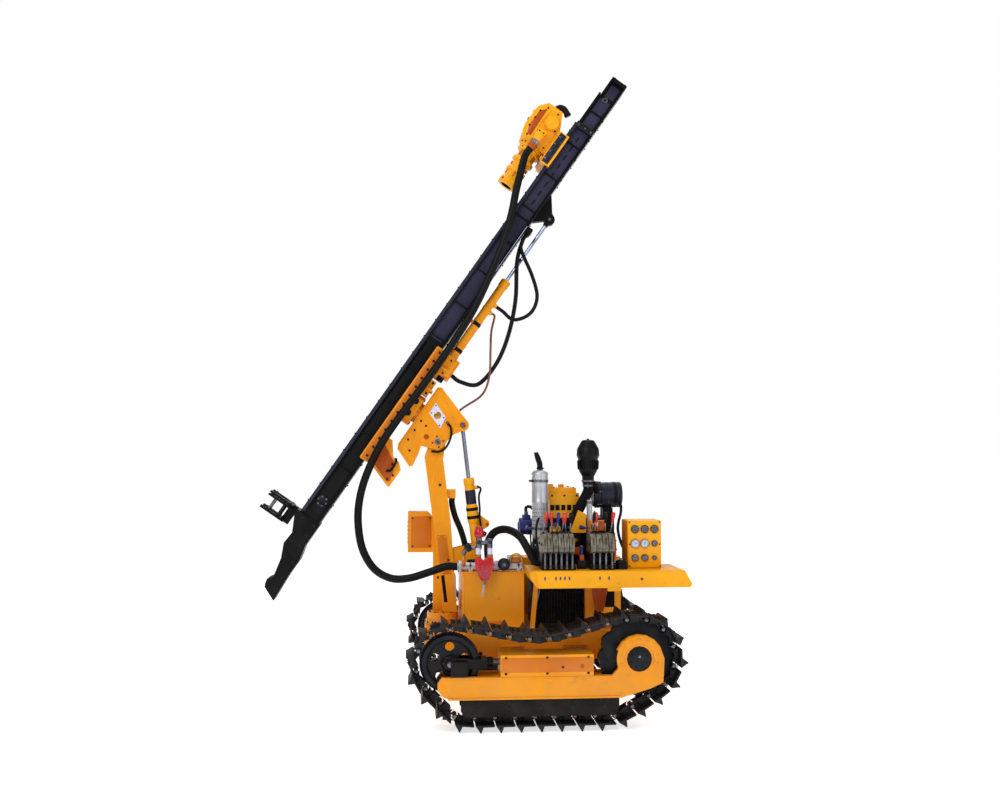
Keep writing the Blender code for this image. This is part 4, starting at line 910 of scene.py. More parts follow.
def sprocket(side, word):
    """The toothed ring with its hub, cover and bolts."""
    centre = side * TRACK_CENTRE
    x, z = SPROCKET
    way = Vector((0, side, 0))
    middle = Vector((x, centre, z))
    held = [pin for pin in PINS if abs(math.dist(pin, SPROCKET) - DRIVE_RADIUS) < 0.0015]
    first = math.atan2(held[2][1] - z, held[2][0] - x)
    seat = 0.0165
    outline = []
    for tooth in range(TEETH):
        turn = first + math.tau * tooth / TEETH
        pin = (x + DRIVE_RADIUS * math.cos(turn), z + DRIVE_RADIUS * math.sin(turn))
        for step in range(7):
            inward = turn + math.pi + math.radians(66 - 22 * step)
            outline.append((pin[0] + seat * math.cos(inward), pin[1] + seat * math.sin(inward)))
        for share in (0.38, 0.44, 0.56, 0.62):
            lift = 0.012 if share in (0.38, 0.62) else 0.017
            tip = turn + math.tau * share / TEETH
            radius = DRIVE_RADIUS * math.cos(math.pi / TEETH) + lift
            outline.append((x + radius * math.cos(tip), z + radius * math.sin(tip)))
    kit = Kit().use(DARK_STEEL)
    kit.flat([(a - x, b - z) for a, b in outline], middle, 0.046, 0.003)
    kit.turned(
        ((0.0, 0.038), (0.15, 0.038), (0.16, 0.033), (0.16, -0.033), (0.15, -0.038), (0.0, -0.038)), middle,
        way, 64,
    )
    for a, b in around(16, 0.138):
        kit.bolt(middle + Vector((a, 0, b)) + way * 0.037, way, 0.009)
    kit.turned(
        ((0.0899, -0.07), (0.0899, 0.112), (0.086, 0.118), (0.08, 0.118), (0.078, 0.1215), (0.066, 0.1245),
         (0.03, 0.1255), (0.0, 0.1255)),
        middle, way, 64,
    )
    kit.turned(((0.0899, -0.07), (0.0, -0.07)), middle, way, 48)
    kit.use(BLACK)
    for a, b in around(8, 0.06, 0.5):
        kit.bolt(middle + Vector((a, 0, b)) + way * 0.1245, way, 0.007)
    kit.use(WORN).bolt(middle + way * 0.125 + Vector((0.0, 0, 0.018)), way, 0.008)
    kit.done("sprocket_wheel_" + word, "chassis", "track_steel", ("sprocket_" + word,), 30)


def frame_trim(side, word):
    """Roller shells with guards, bolted covers, the tensioner's plate and ribs on a track frame."""
    centre = side * TRACK_CENTRE
    way = Vector((0, side, 0))
    face = centre + side * FRAME_FACE
    kit = Kit()
    for x in ROLLERS:
        middle = Vector((x, centre, ROLLER_Z))
        kit.use(DARK_STEEL).turned(
            ((0.03, 0.083), (0.044, 0.083), (0.0562, 0.079), (0.0562, 0.05), (0.068, 0.047), (0.068, 0.041),
             (0.0562, 0.037), (0.0562, 0.012), (0.05, 0.006), (0.05, -0.006), (0.0562, -0.012),
             (0.0562, -0.037),
             (0.068, -0.041), (0.068, -0.047), (0.0562, -0.05), (0.0562, -0.079), (0.044, -0.083),
             (0.03, -0.083)),
            middle, way, 32,
        )
        for edge in (-1, 1):
            low = middle + way * (edge * 0.0995)
            below = [math.radians(a) for a in range(180, 361, 20)]
            bow = [(0.03 * math.cos(a), 0.03 * math.sin(a)) for a in below]
            outline = [(-0.04, 0.075), *bow, (0.04, 0.075)]
            kit.use(BLACK).flat(outline, low, 0.01, 0.002)
            kit.use(DARK_STEEL).rod(low, low + way * (edge * 0.019), 0.014, 20, 0.002)
            if edge == 1:
                kit.use(DARK_STEEL).bolts(
                    [low + Vector((a, side * 0.0155, 0.04)) for a in (-0.026, 0.026)], way, 0.007
                )
    guard = [(min(ROLLERS) - 0.11, 0.236), (min(ROLLERS) - 0.11, 0.15), (min(ROLLERS) - 0.08, 0.104),
             (max(ROLLERS) + 0.08, 0.104), (max(ROLLERS) + 0.11, 0.15), (max(ROLLERS) + 0.11, 0.236)]
    for edge in (-1, 1):
        kit.use(BLACK).flat(guard, (0, centre + side * edge * 0.111, 0), 0.008, 0.002)
    for x in (-0.845, -0.549, -0.252):
        for z in (0.408, 0.52):
            kit.screw((x, face, z), way, 0.0075)
    # The cover plate and the two round bosses are in darker oranges: painted shade.
    kit.use(SHADE_ORANGE).plate(
        [(-0.33, -0.05), (0.33, -0.05), (0.33, 0.046), (0.322, 0.054), (-0.322, 0.054), (-0.33, 0.046)],
        (-0.549, face, 0.466), AHEAD, UP, 0.004, 0.0015,
    )
    kit.use(DARKER_SHADE_ORANGE).rod((-0.66, face, 0.452), (-0.66, face + side * 0.004, 0.452), 0.012, 24, 0.001)
    kit.use(DARK_STEEL).rod((-0.66, face, 0.452), (-0.66, face + side * 0.0055, 0.452), 0.007, 16)
    kit.use(DARKER_SHADE_ORANGE).rod((-0.8, face, 0.456), (-0.8, face + side * 0.004, 0.456), 0.016, 24, 0.001)
    kit.use(ORANGE)
    kit.flat(rectangle(-0.62, -0.007, 0.62, 0.007), (-0.46, face + side * 0.003, 0.236), 0.008, 0.003)
    kit.flat(rectangle(-0.6, -0.005, 0.6, 0.005), (-0.42, face + side * 0.003, 0.38), 0.006, 0.002)
    x, z = SPROCKET
    outer = []
    inner = []
    for step in range(25):
        turn = math.radians(-20 + 220 * step / 24)
        outer.append((0.166 * math.cos(turn), 0.166 * math.sin(turn)))
        inner.append((0.108 * math.cos(turn), 0.108 * math.sin(turn)))
    kit.use(ORANGE).flat(outer + inner[::-1], (x, face + side * 0.003, z), 0.008, 0.003)
    for step in range(9):
        turn = math.radians(-14 + 208 * step / 8)
        kit.use(ORANGE).bolt(
            (x + 0.137 * math.cos(turn), face + side * 0.006, z + 0.137 * math.sin(turn)), way, 0.0085,
        )
    kit.done("frame_trim_" + word, "chassis", "orange_paint")


def tensioner_trim(side, word):
    """Nuts, the grease cylinder's collar and the yoke's clamp plates."""
    centre = side * TRACK_CENTRE
    way = Vector((0, side, 0))
    cross = IDLER_CENTRE[0] - IDLER_RIM - 0.045
    kit = Kit().use(BLACK)
    kit.turned(
        ((0.0225, 0.0), (0.034, 0.0), (0.037, 0.004), (0.037, 0.036), (0.034, 0.04), (0.0225, 0.04)),
        (cross - 0.022, centre, IDLER_Z), BEHIND, 32,
    )
    kit.use(WORN).rod((cross - 0.06, centre, IDLER_Z), (-0.2145, centre, IDLER_Z), 0.0232, 24)
    for turn in range(6):
        kit.ring((cross - 0.066 - 0.006 * turn, centre, IDLER_Z), AHEAD, 0.0236, 0.0016, 24, 6)
    for edge in (-1, 1):
        arm = centre + edge * 0.078
        kit.use(BLACK).rod(
            (IDLER_CENTRE[0], arm, IDLER_Z), (IDLER_CENTRE[0], arm + edge * 0.016, IDLER_Z), 0.034, 28,
            0.003,
        )
        kit.use(WORN).rod(
            (IDLER_CENTRE[0], arm, IDLER_Z), (IDLER_CENTRE[0], arm + edge * 0.022, IDLER_Z), 0.02, 24,
            0.002,
        )
        kit.use(DARK_STEEL).bolts(
            [
                (0.036, arm + edge * 0.0385, 0.4), (0.124, arm + edge * 0.0385, 0.4),
                (0.036, arm + edge * 0.0385, 0.478),
            ],
            (0, edge, 0), 0.008,
        )
    kit.done("tensioner_trim_" + word, "chassis", "black_paint")


for one, word in ((1, "left"), (-1, "right")):
    idler(one, word)
    sprocket(one, word)
    frame_trim(one, word)
    tensioner_trim(one, word)


# Chassis: towing eye, covers, flange bolts, motor hoses and bolts of the swing ring
def chassis_trim():
    kit = Kit()
    # Rear cover plate in a darker orange: painted shade.
    kit.use(SHADE_ORANGE).plate(rectangle(-0.21, 0.425, 0.21, 0.575), (-1.2215, 0, 0), LEFT, UP, 0.005, 0.002)
    for y in (-0.19, -0.07, 0.07, 0.19):
        for z in (0.442, 0.558):
            kit.screw((-1.224, y, z), BEHIND, 0.009)
    kit.use(BLACK).plate(rectangle(-0.06, 0.47, 0.06, 0.53), (-1.228, 0, 0), LEFT, UP, 0.012, 0.003)
    kit.use(BLACK).ring((-1.262, 0, 0.5), UP, 0.034, 0.01, 36, 12)
    kit.use(WORN).rod((-1.262, 0.026, 0.49), (-1.262, 0.026, 0.512), 0.007, 12)
    for side in (-1, 1):
        kit.use(DARK_STEEL).bolts([(-1.1505, side * 0.42, z) for z in (0.455, 0.585)], BEHIND, 0.01)
        kit.use(HOSE).tube(
            [
                (-1.2, side * 0.579, 0.545), (-1.215, side * 0.54, 0.59), (-1.225, side * 0.47, 0.6),
                (-1.195, side * 0.4, 0.56), (-1.15, side * 0.385, 0.53),
            ],
            0.013, 14,
        )
        kit.use(HOSE).tube(
            [
                (-1.24, side * 0.579, 0.47), (-1.26, side * 0.53, 0.48), (-1.255, side * 0.44, 0.5),
                (-1.205, side * 0.36, 0.49), (-1.15, side * 0.345, 0.48),
            ],
            0.013, 14,
        )
        for place in ((-1.2, side * 0.577, 0.545), (-1.24, side * 0.577, 0.47)):
            kit.use(WORN).rod(place, (place[0], place[1] - side * 0.022, place[2]), 0.017, 6, 0.001)
        for place in ((-1.149, side * 0.385, 0.53), (-1.149, side * 0.345, 0.48)):
            kit.use(WORN).rod(place, (place[0] - 0.022, place[1], place[2]), 0.017, 6, 0.001)
        for x in (-0.8, -0.32):
            kit.use(ORANGE).box(
                (x - 0.092, side * 0.66 - 0.008, 0.385), (x + 0.092, side * 0.66 + 0.008, 0.55), 0.004,
            )
            for a in (-0.078, 0.078):
                for z in (0.405, 0.532):
                    kit.screw((x + a, side * 0.652, z), (0, -side, 0), 0.009)
        kit.use(ORANGE).bead((-1.145, side * 0.5, 0.626), (-0.45, side * 0.5, 0.626), 0.004)
        kit.use(DARK_STEEL).bolts(
            [(x, side * 0.5005, 0.47) for x in (-1.05, -0.58, -0.1)], (0, side, 0), 0.011,
        )
    # Front cover plate in a darker orange: painted shade.
    kit.use(SHADE_ORANGE).plate(rectangle(-0.15, 0.44, 0.15, 0.6), (0.3115, 0, 0), LEFT, UP, 0.005, 0.002)
    for y in (-0.13, 0.0, 0.13):
        for z in (0.458, 0.582):
            kit.screw((0.314, y, z), AHEAD, 0.009)
    for a, b in around(14, 1.0):
        kit.screw((0.17 + 0.1352 * a, 0.1352 * b, 0.646), (a, b, 0), 0.007)
    kit.done("chassis_trim", "chassis", "orange_paint")


chassis_trim()


# Deck: gauge panel, valve banks, cooler, tank and air line
PANEL = (-1.467, -1.207, DECK_SEAT, 1.471)
PANEL_FACE = 0.61
DIALS = (
    # column, row, face, radius
    (0, 2, DIAL, 0.031),
    (1, 2, DIAL, 0.031),
    (2, 2, DIAL, 0.031),
    (0, 1, DIAL_PALE, 0.034),
    (1, 1, DIAL_PALE, 0.034),
    (2, 1, NAVY, 0.023),
    (0, 0, DIAL_GREY, 0.027),
    (1, 0, DIAL_GREY, 0.027),
    (2, 0, DIAL_GREY, 0.017),
)


def gauge_panel():
    """A folded box with nine dials under glass, each in a bezel."""
    low_x, high_x, low_z, high_z = PANEL
    kit = Kit().use(YELLOW).box((low_x, 0.38, low_z), (high_x, PANEL_FACE - 0.006, high_z), 0.008)
    kit.box(
        (low_x + 0.004, PANEL_FACE - 0.008, low_z + 0.004), (high_x - 0.004, PANEL_FACE, high_z - 0.004),
        0.003,
    )
    # A thin darker orange strip on the panel's end: painted shade.
    kit.use(SHADE_ORANGE).box(
        (high_x - 0.001, 0.384, low_z + 0.006), (high_x + 0.0015, PANEL_FACE - 0.012, high_z - 0.006),
        0.001,
    )
    for x in (low_x + 0.014, high_x - 0.014):
        for z in (low_z + 0.016, (low_z + high_z) / 2, high_z - 0.014):
            kit.screw((x, PANEL_FACE, z), LEFT, 0.0045)
    for column, row, look, radius in DIALS:
        x = -1.262 - 0.075 * column
        z = 1.19 + 0.108 * row
        face = (x, PANEL_FACE, z)
        bezel = CHROME if look is DIAL_PALE else NAVY_BLACK
        kit.use(bezel).turned(
            ((radius, 0.0), (radius, 0.01), (radius - 0.002, 0.0125), (radius - 0.004, 0.0125),
             (radius - 0.005, 0.008)),
            face, LEFT, 40,
        )
        kit.use(look).rod((x, PANEL_FACE, z), (x, PANEL_FACE + 0.0075, z), radius - 0.0045, 36)
        for step in range(9 if radius > 0.02 else 5):
            turn = math.radians(225 - 270 * step / (8 if radius > 0.02 else 4))
            reach = radius - 0.009
            mark = Vector((x + reach * math.cos(turn), PANEL_FACE + 0.0078, z + reach * math.sin(turn)))
            spin = Matrix.Rotation(-turn, 4, "Y")
            kit.use(NAVY_BLACK if look is DIAL_PALE else PALE_AND_HIGHLIGHT).box(
                mark - Vector((0.002, 0.0004, 0.0004)), mark + Vector((0.002, 0.0004, 0.0004)), 0.0, spin
            )
        aim = math.radians(210 - 37 * (column * 2 + row))
        tip = Vector((math.cos(aim), 0, math.sin(aim)))
        here = Vector((x, PANEL_FACE + 0.0088, z))
        kit.use(SCARLET if row == 2 else (NAVY_BLACK if look is DIAL_PALE else WHITE))
        kit.rod(here - tip * 0.004, here + tip * (radius - 0.009), 0.0009, 6, 0.0, 0.0003)
        kit.use(NAVY_BLACK).rod(here, here + Vector((0, 0.0015, 0)), 0.0028, 14)
        kit.use(GLASS).rod((x, PANEL_FACE + 0.0105, z), (x, PANEL_FACE + 0.0115, z), radius - 0.004, 36)
        kit.use(BRASS).rod((x, 0.352, z), (x, 0.3795, z), 0.01, 12)
        kit.use(HOSE).tube(
            [(x, 0.353, z), (x, 0.325, z - 0.02), (x + 0.01, 0.318, 1.2), (x + 0.02, 0.318, 1.1)], 0.005, 8,
        )
    kit.done("gauge_panel_faces", "chassis", "yellow_paint", ("gauge_panel",))


BANKS = (
    # name, front end, rear end, levers, slots in the deck's edge below it
    ("valve_bank_front", -0.541, -0.799, (-0.564, -0.634, -0.672, -0.704, -0.736, -0.768),
    (-0.554, -0.635, -0.668, -0.701, -0.735)),
    ("valve_bank_rear", -0.905, -1.1, (-0.932, -0.974, -1.03, -1.074), (-0.961, -1.028)),
)
KNOBS = {
    # looks of the knobs, from the front of the machine to its back
    "valve_bank_front": (SCARLET, SCARLET, NAVY, SCARLET, SCARLET, PLASTIC),
    "valve_bank_rear": (PLASTIC, SCARLET, PLASTIC, SCARLET),
}


def valve_bank(name, first, last, levers):
    """Cast valve sections side by side, with rubber boots below and knobbed levers above."""
    kit = Kit().use(BLACK).box((last, 0.47, DECK_SEAT), (first, 0.7, 1.15), 0.005)
    kit.use(BLACK).box((last + 0.01, 0.49, 1.145), (first - 0.01, 0.66, 1.235), 0.006)
    count = len(levers)
    tie = 1.3
    width = (first - last - 0.012) / count
    for index in range(count):
        high = first - 0.006 - width * index
        low = high - width + 0.004
        middle = (low + high) / 2
        kit.use(ALLOY)
        side = [
            (0.48, 1.232), (0.69, 1.232), (0.712, 1.25), (0.712, tie), (0.69, 1.352), (0.655, 1.376),
            (0.535, 1.376), (0.5, 1.35), (0.48, tie),
        ]
        kit.plate(side, (middle, 0, 0), LEFT, UP, high - low, 0.005)
        kit.use(ALLOY).rod(
            (middle, 0.705, 1.268), (middle, 0.722, 1.268), min(0.013, width * 0.36), 20, 0.002,
        )
        kit.use(WORN).bolt((middle, 0.722, 1.268), LEFT, min(0.008, width * 0.22))
        kit.use(DARK_STEEL).box((middle - 0.0016, 0.7, 1.29), (middle + 0.0016, 0.713, 1.345), 0.0)
        kit.use(RUBBER).turned(
            ((0.0, 0.112), (0.009, 0.112), (0.012, 0.1), (0.009, 0.092), (0.014, 0.08), (0.01, 0.072),
             (0.016, 0.058),
             (0.011, 0.048), (0.017, 0.034), (0.012, 0.022), (0.018, 0.01), (0.018, 0.0)),
            (middle, 0.69, 1.12), UP, 18,
        )
        kit.use(WORN).box((middle - 0.0065, 0.704, 1.126), (middle + 0.0065, 0.7125, 1.24), 0.002)
        kit.rod((middle, 0.7085, 1.126), (middle, 0.7165, 1.126), 0.009, 16, 0.001)
    for index, x in enumerate(levers):
        lean = 0.01 * ((index * 5) % 3 - 1)
        foot = Vector((x, 0.6, 1.366))
        top = Vector((x + lean, 0.64, 1.462))
        kit.use(DARK_STEEL).rod(foot, foot + Vector((0, 0.006, 0.02)), 0.0115, 16, 0.001)
        kit.use(CHROME).rod(foot, top, 0.0048, 12)
        way = (top - foot).normalized()
        knob = KNOBS[name][index]
        kit.use(knob).turned(
            ((0.0, 0.088), (0.006, 0.0875), (0.0115, 0.083), (0.0145, 0.074), (0.015, 0.062),
             (0.0135, 0.046), (0.0105, 0.03),
             (0.0085, 0.015), (0.008, 0.004), (0.0062, 0.0), (0.0, 0.0)),
            top - way * 0.006, way, 22,
        )
    for y in (0.515, 0.655):
        kit.use(WORN).rod((last + 0.002, y, tie), (first - 0.002, y, tie), 0.006, 12)
        for x, way in ((first - 0.006, 1), (last + 0.006, -1)):
            kit.screw((x, y, tie), (way, 0, 0), 0.01)
    kit.done(name + "_sections", "chassis", "bare_steel", (name,))


def deck_trim():
    """Slots drawn as dark ovals of painted shade, rolled edge, bolts, the brackets under the deck, one in a
    darker orange of painted shade, and the small fittings beside the levers.
    """
    kit = Kit()
    edge = 0.8006
    for *_, slots in BANKS:
        for x in slots:
            outline = [
                (0.0065 * math.cos(math.tau * s / 20), 0.014 * math.sin(math.tau * s / 20))
                for s in range(20)
            ]
            # Each slot is a flat dark oval, not a hole: its dark is painted shade for the open slot.
            kit.use(NAVY).flat(outline, (x, edge, 1.062), 0.0016, 0.0)
            kit.use(YELLOW)
            rim = [
                (0.0085 * math.cos(math.tau * s / 20), 0.0165 * math.sin(math.tau * s / 20))
                for s in range(20)
            ]
            kit.flat(rim, (x, edge - 0.0004, 1.062), 0.0012, 0.0)
    # Darker orange boss: painted shade.
    kit.use(DARKER_SHADE_ORANGE).rod((-1.274, edge - 0.001, 1.053), (-1.274, edge + 0.002, 1.053), 0.01, 20)
    kit.screw((-1.274, edge + 0.0015, 1.053), LEFT, 0.0055)
    for x in (-0.6, -1.1, -1.45, -1.58):
        kit.use(YELLOW).bolt((x, edge, 1.024), LEFT, 0.0065)
    kit.use(YELLOW).bead((-0.462, 0.7985, DECK_TOP), (-1.594, 0.7985, DECK_TOP), 0.0042)
    kit.bead((-0.506, 0.7985, 0.9925), (-1.638, 0.7985, 0.9925), 0.0042)
    kit.use(ORANGE).plate(
        [(-0.444, 1.108), (-0.444, 1.062), (-0.492, 0.992), (-0.505, 0.992), (-0.49, 1.108)],
        (0, edge + 0.0012, 0), AHEAD, UP, 0.0026, 0.001,
    )
    # The bracket under the deck in the darkest orange: painted shade, where the deck casts its shadow.
    kit.use(DARKER_SHADE_ORANGE).plate(
        [(-0.958, 0.985), (-1.075, 0.985), (-1.075, 0.93), (-1.045, 0.77), (-0.985, 0.77), (-0.958, 0.93)],
        (0, 0.4665, 0), AHEAD, UP, 0.012, 0.003,
    )
    for x, z in ((-1.045, 0.955), (-0.985, 0.955)):
        kit.screw((x, 0.4725, z), LEFT, 0.008)
    kit.use(BLACK).turned(
        ((0.0, 0.066), (0.03, 0.066), (0.04, 0.058), (0.043, 0.04), (0.043, 0.008), (0.048, 0.0)),
        (-1.15, 0.64, DECK_SEAT), UP, 32,
    )
    kit.use(WORN).turned(
        ((0.0, 0.014), (0.012, 0.014), (0.016, 0.009), (0.016, 0.0)), (-1.15, 0.64, DECK_SEAT + 0.066), UP,
        20,
    )
    kit.use(DARK_STEEL).box((-0.888, 0.56, DECK_SEAT), (-0.822, 0.64, DECK_SEAT + 0.06), 0.004)
    # Darker orange block: painted shade.
    kit.use(DARKER_SHADE_ORANGE).box((-0.873, 0.575, DECK_SEAT + 0.06), (-0.838, 0.625, DECK_SEAT + 0.105), 0.005)
    kit.use(NAVY).rod((-0.856, 0.6, DECK_SEAT + 0.105), (-0.856, 0.6, DECK_SEAT + 0.165), 0.016, 20, 0.003)
    kit.use(BRASS).bolt((-0.856, 0.6, DECK_SEAT + 0.165), UP, 0.011)
    kit.use(BLACK).box((-1.19, 0.36, DECK_SEAT), (-0.9, 0.46, DECK_SEAT + 0.03), 0.004)
    # Darker orange box and face plate: painted shade.
    kit.use(SHADE_ORANGE).box((-1.045, 0.5, 1.392), (-0.925, 0.59, 1.47), 0.006)
    kit.use(DARKER_SHADE_ORANGE).box((-1.04, 0.588, 1.398), (-0.99, 0.6, 1.464), 0.003)
    kit.use(WHITE).box((-0.985, 0.588, 1.43), (-0.965, 0.599, 1.462), 0.002)
    kit.use(NAVY_BLACK).box((-0.955, 0.588, 1.404), (-0.93, 0.6, 1.44), 0.002)
    kit.use(BRASS).box((-0.7, 0.545, 1.378), (-0.62, 0.585, 1.428), 0.005)
    kit.use(NAVY).rod((-0.66, 0.565, 1.428), (-0.66, 0.565, 1.452), 0.015, 20, 0.002)
    kit.done("deck_fittings", "chassis", "yellow_paint")


def cooler():
    """The oil cooler: a frame round many fine fins, with end tanks and its strut."""
    kit = Kit().use(BLACK).box((-0.965, -0.1, 0.6303), (-0.525, 0.345, 0.985), 0.006)
    kit.box((-0.965, 0.335, 0.64), (-0.525, 0.39, 0.676), 0.005)
    kit.box((-0.965, 0.335, 0.95), (-0.525, 0.39, 0.985), 0.005)
    kit.box((-0.965, 0.335, 0.67), (-0.944, 0.388, 0.956), 0.004)
    kit.box((-0.546, 0.335, 0.67), (-0.525, 0.388, 0.956), 0.004)
    for step in range(34):
        x = -0.938 + 0.0116 * step
        kit.use(BLACK if step % 2 else DARK_STEEL).box((x, 0.344, 0.674), (x + 0.0042, 0.372, 0.952), 0.0)
    for step in range(9):
        z = 0.7 + 0.03 * step
        kit.use(DARK_STEEL).rod((-0.944, 0.36, z), (-0.546, 0.36, z), 0.0042, 8)
    for step in range(5):
        kit.screw((-0.92 + 0.0875 * step, 0.39, 0.968), LEFT, 0.007)
        kit.bolt((-0.92 + 0.0875 * step, 0.39, 0.658), LEFT, 0.007)
    kit.done("oil_cooler_fins", "chassis", "black_paint", ("oil_cooler",), 30)
    strut = Kit().use(WORN).tube(
        [(-0.56, 0.396, 0.945), (-0.556, 0.402, 0.914), (-0.517, 0.402, 0.717), (-0.512, 0.396, 0.69)],
        0.0062, 10,
    )
    strut.rod((-0.56, 0.388, 0.945), (-0.56, 0.404, 0.945), 0.01, 16, 0.001)
    strut.rod((-0.512, 0.388, 0.69), (-0.512, 0.404, 0.69), 0.01, 16, 0.001)
    strut.done("cooler_strut", "chassis", "bare_steel")


def tank_trim():
    """Weld beads, the filler with its cap, drain plug, lifting lugs and the strap on the tank box."""
    kit = Kit()
    face = 0.42
    kit.use(ORANGE)
    for x in (-0.436, 0.024):
        kit.bead((x, face, 0.64), (x, face, 1.062), 0.0035)
    kit.bead((-0.434, face, 1.066), (0.022, face, 1.066), 0.0035)
    kit.use(ORANGE).box((-0.452, -0.425, 1.062), (0.04, 0.425, LID_TOP), 0.003)
    # This darker orange plate is painted shade, as are the darker orange lugs and cover box below.
    kit.use(SHADE_ORANGE).box((-0.3, 0.419, 0.64), (-0.12, 0.4235, 0.7), 0.002)
    for x in (-0.285, -0.135):
        kit.screw((x, 0.4235, 0.67), LEFT, 0.007)
    kit.use(WORN).bolt((-0.21, 0.4235, 0.67), LEFT, 0.01)
    kit.use(BLACK).turned(
        ((0.0, 0.072), (0.036, 0.072), (0.042, 0.066), (0.042, 0.046), (0.033, 0.042), (0.033, 0.0)),
        (-0.055, 0.19, LID_TOP), UP, 32,
    )
    kit.use(WORN).ring((-0.055, 0.19, 1.112), UP, 0.036, 0.003, 28, 8)
    for x, y in ((-0.4, -0.36), (-0.03, -0.36), (-0.4, 0.2)):
        kit.use(SHADE_ORANGE).plate(
            [(-0.022, 0.0), (0.022, 0.0), (0.022, 0.012), (0.012, 0.02), (-0.012, 0.02), (-0.022, 0.012)],
            (x, y, LID_TOP), AHEAD, UP, 0.01, 0.003,
        )
    kit.use(SHADE_ORANGE).box((-0.4, -0.3, LID_TOP), (-0.27, -0.12, 1.084), 0.003)
    for x in (-0.385, -0.285):
        for y in (-0.285, -0.135):
            kit.screw((x, y, 1.084), UP, 0.007)
    kit.use(BLACK).rod((-0.175, 0.27, LID_TOP), (-0.175, 0.27, 1.092), 0.04, 6, 0.002)
    kit.done("tank_trim", "chassis", "orange_paint")


def fuel_trim():
    """Straps, the filler cap and the drain on the fuel tank at the right."""
    kit = Kit()
    for x in (-1.2, -0.62):
        kit.use(BLACK).box((x - 0.016, -0.6625, 0.64), (x + 0.016, -0.6585, 1.098), 0.001)
        kit.box((x - 0.016, -0.661, 1.0985), (x + 0.016, -0.424, 1.1035), 0.001)
        kit.use(WORN).bolt((x, -0.6625, 0.9), (0, -1, 0), 0.01)
    kit.use(BLACK).turned(
        ((0.0, 0.052), (0.038, 0.052), (0.044, 0.046), (0.044, 0.02), (0.034, 0.016), (0.034, 0.0)),
        (-0.9, -0.52, 1.1), UP, 32,
    )
    for a, b in around(16, 0.044):
        kit.rod((-0.9 + a, -0.52 + b, 1.122), (-0.9 + a, -0.52 + b, 1.144), 0.0035, 8)
    kit.use(BRASS).bolt((-0.52, -0.66, 0.68), (0, -1, 0), 0.012)
    kit.use(ORANGE).bead((-1.345, -0.659, 0.65), (-1.345, -0.659, 1.09), 0.003)
    kit.done("fuel_tank_trim", "chassis", "black_paint")


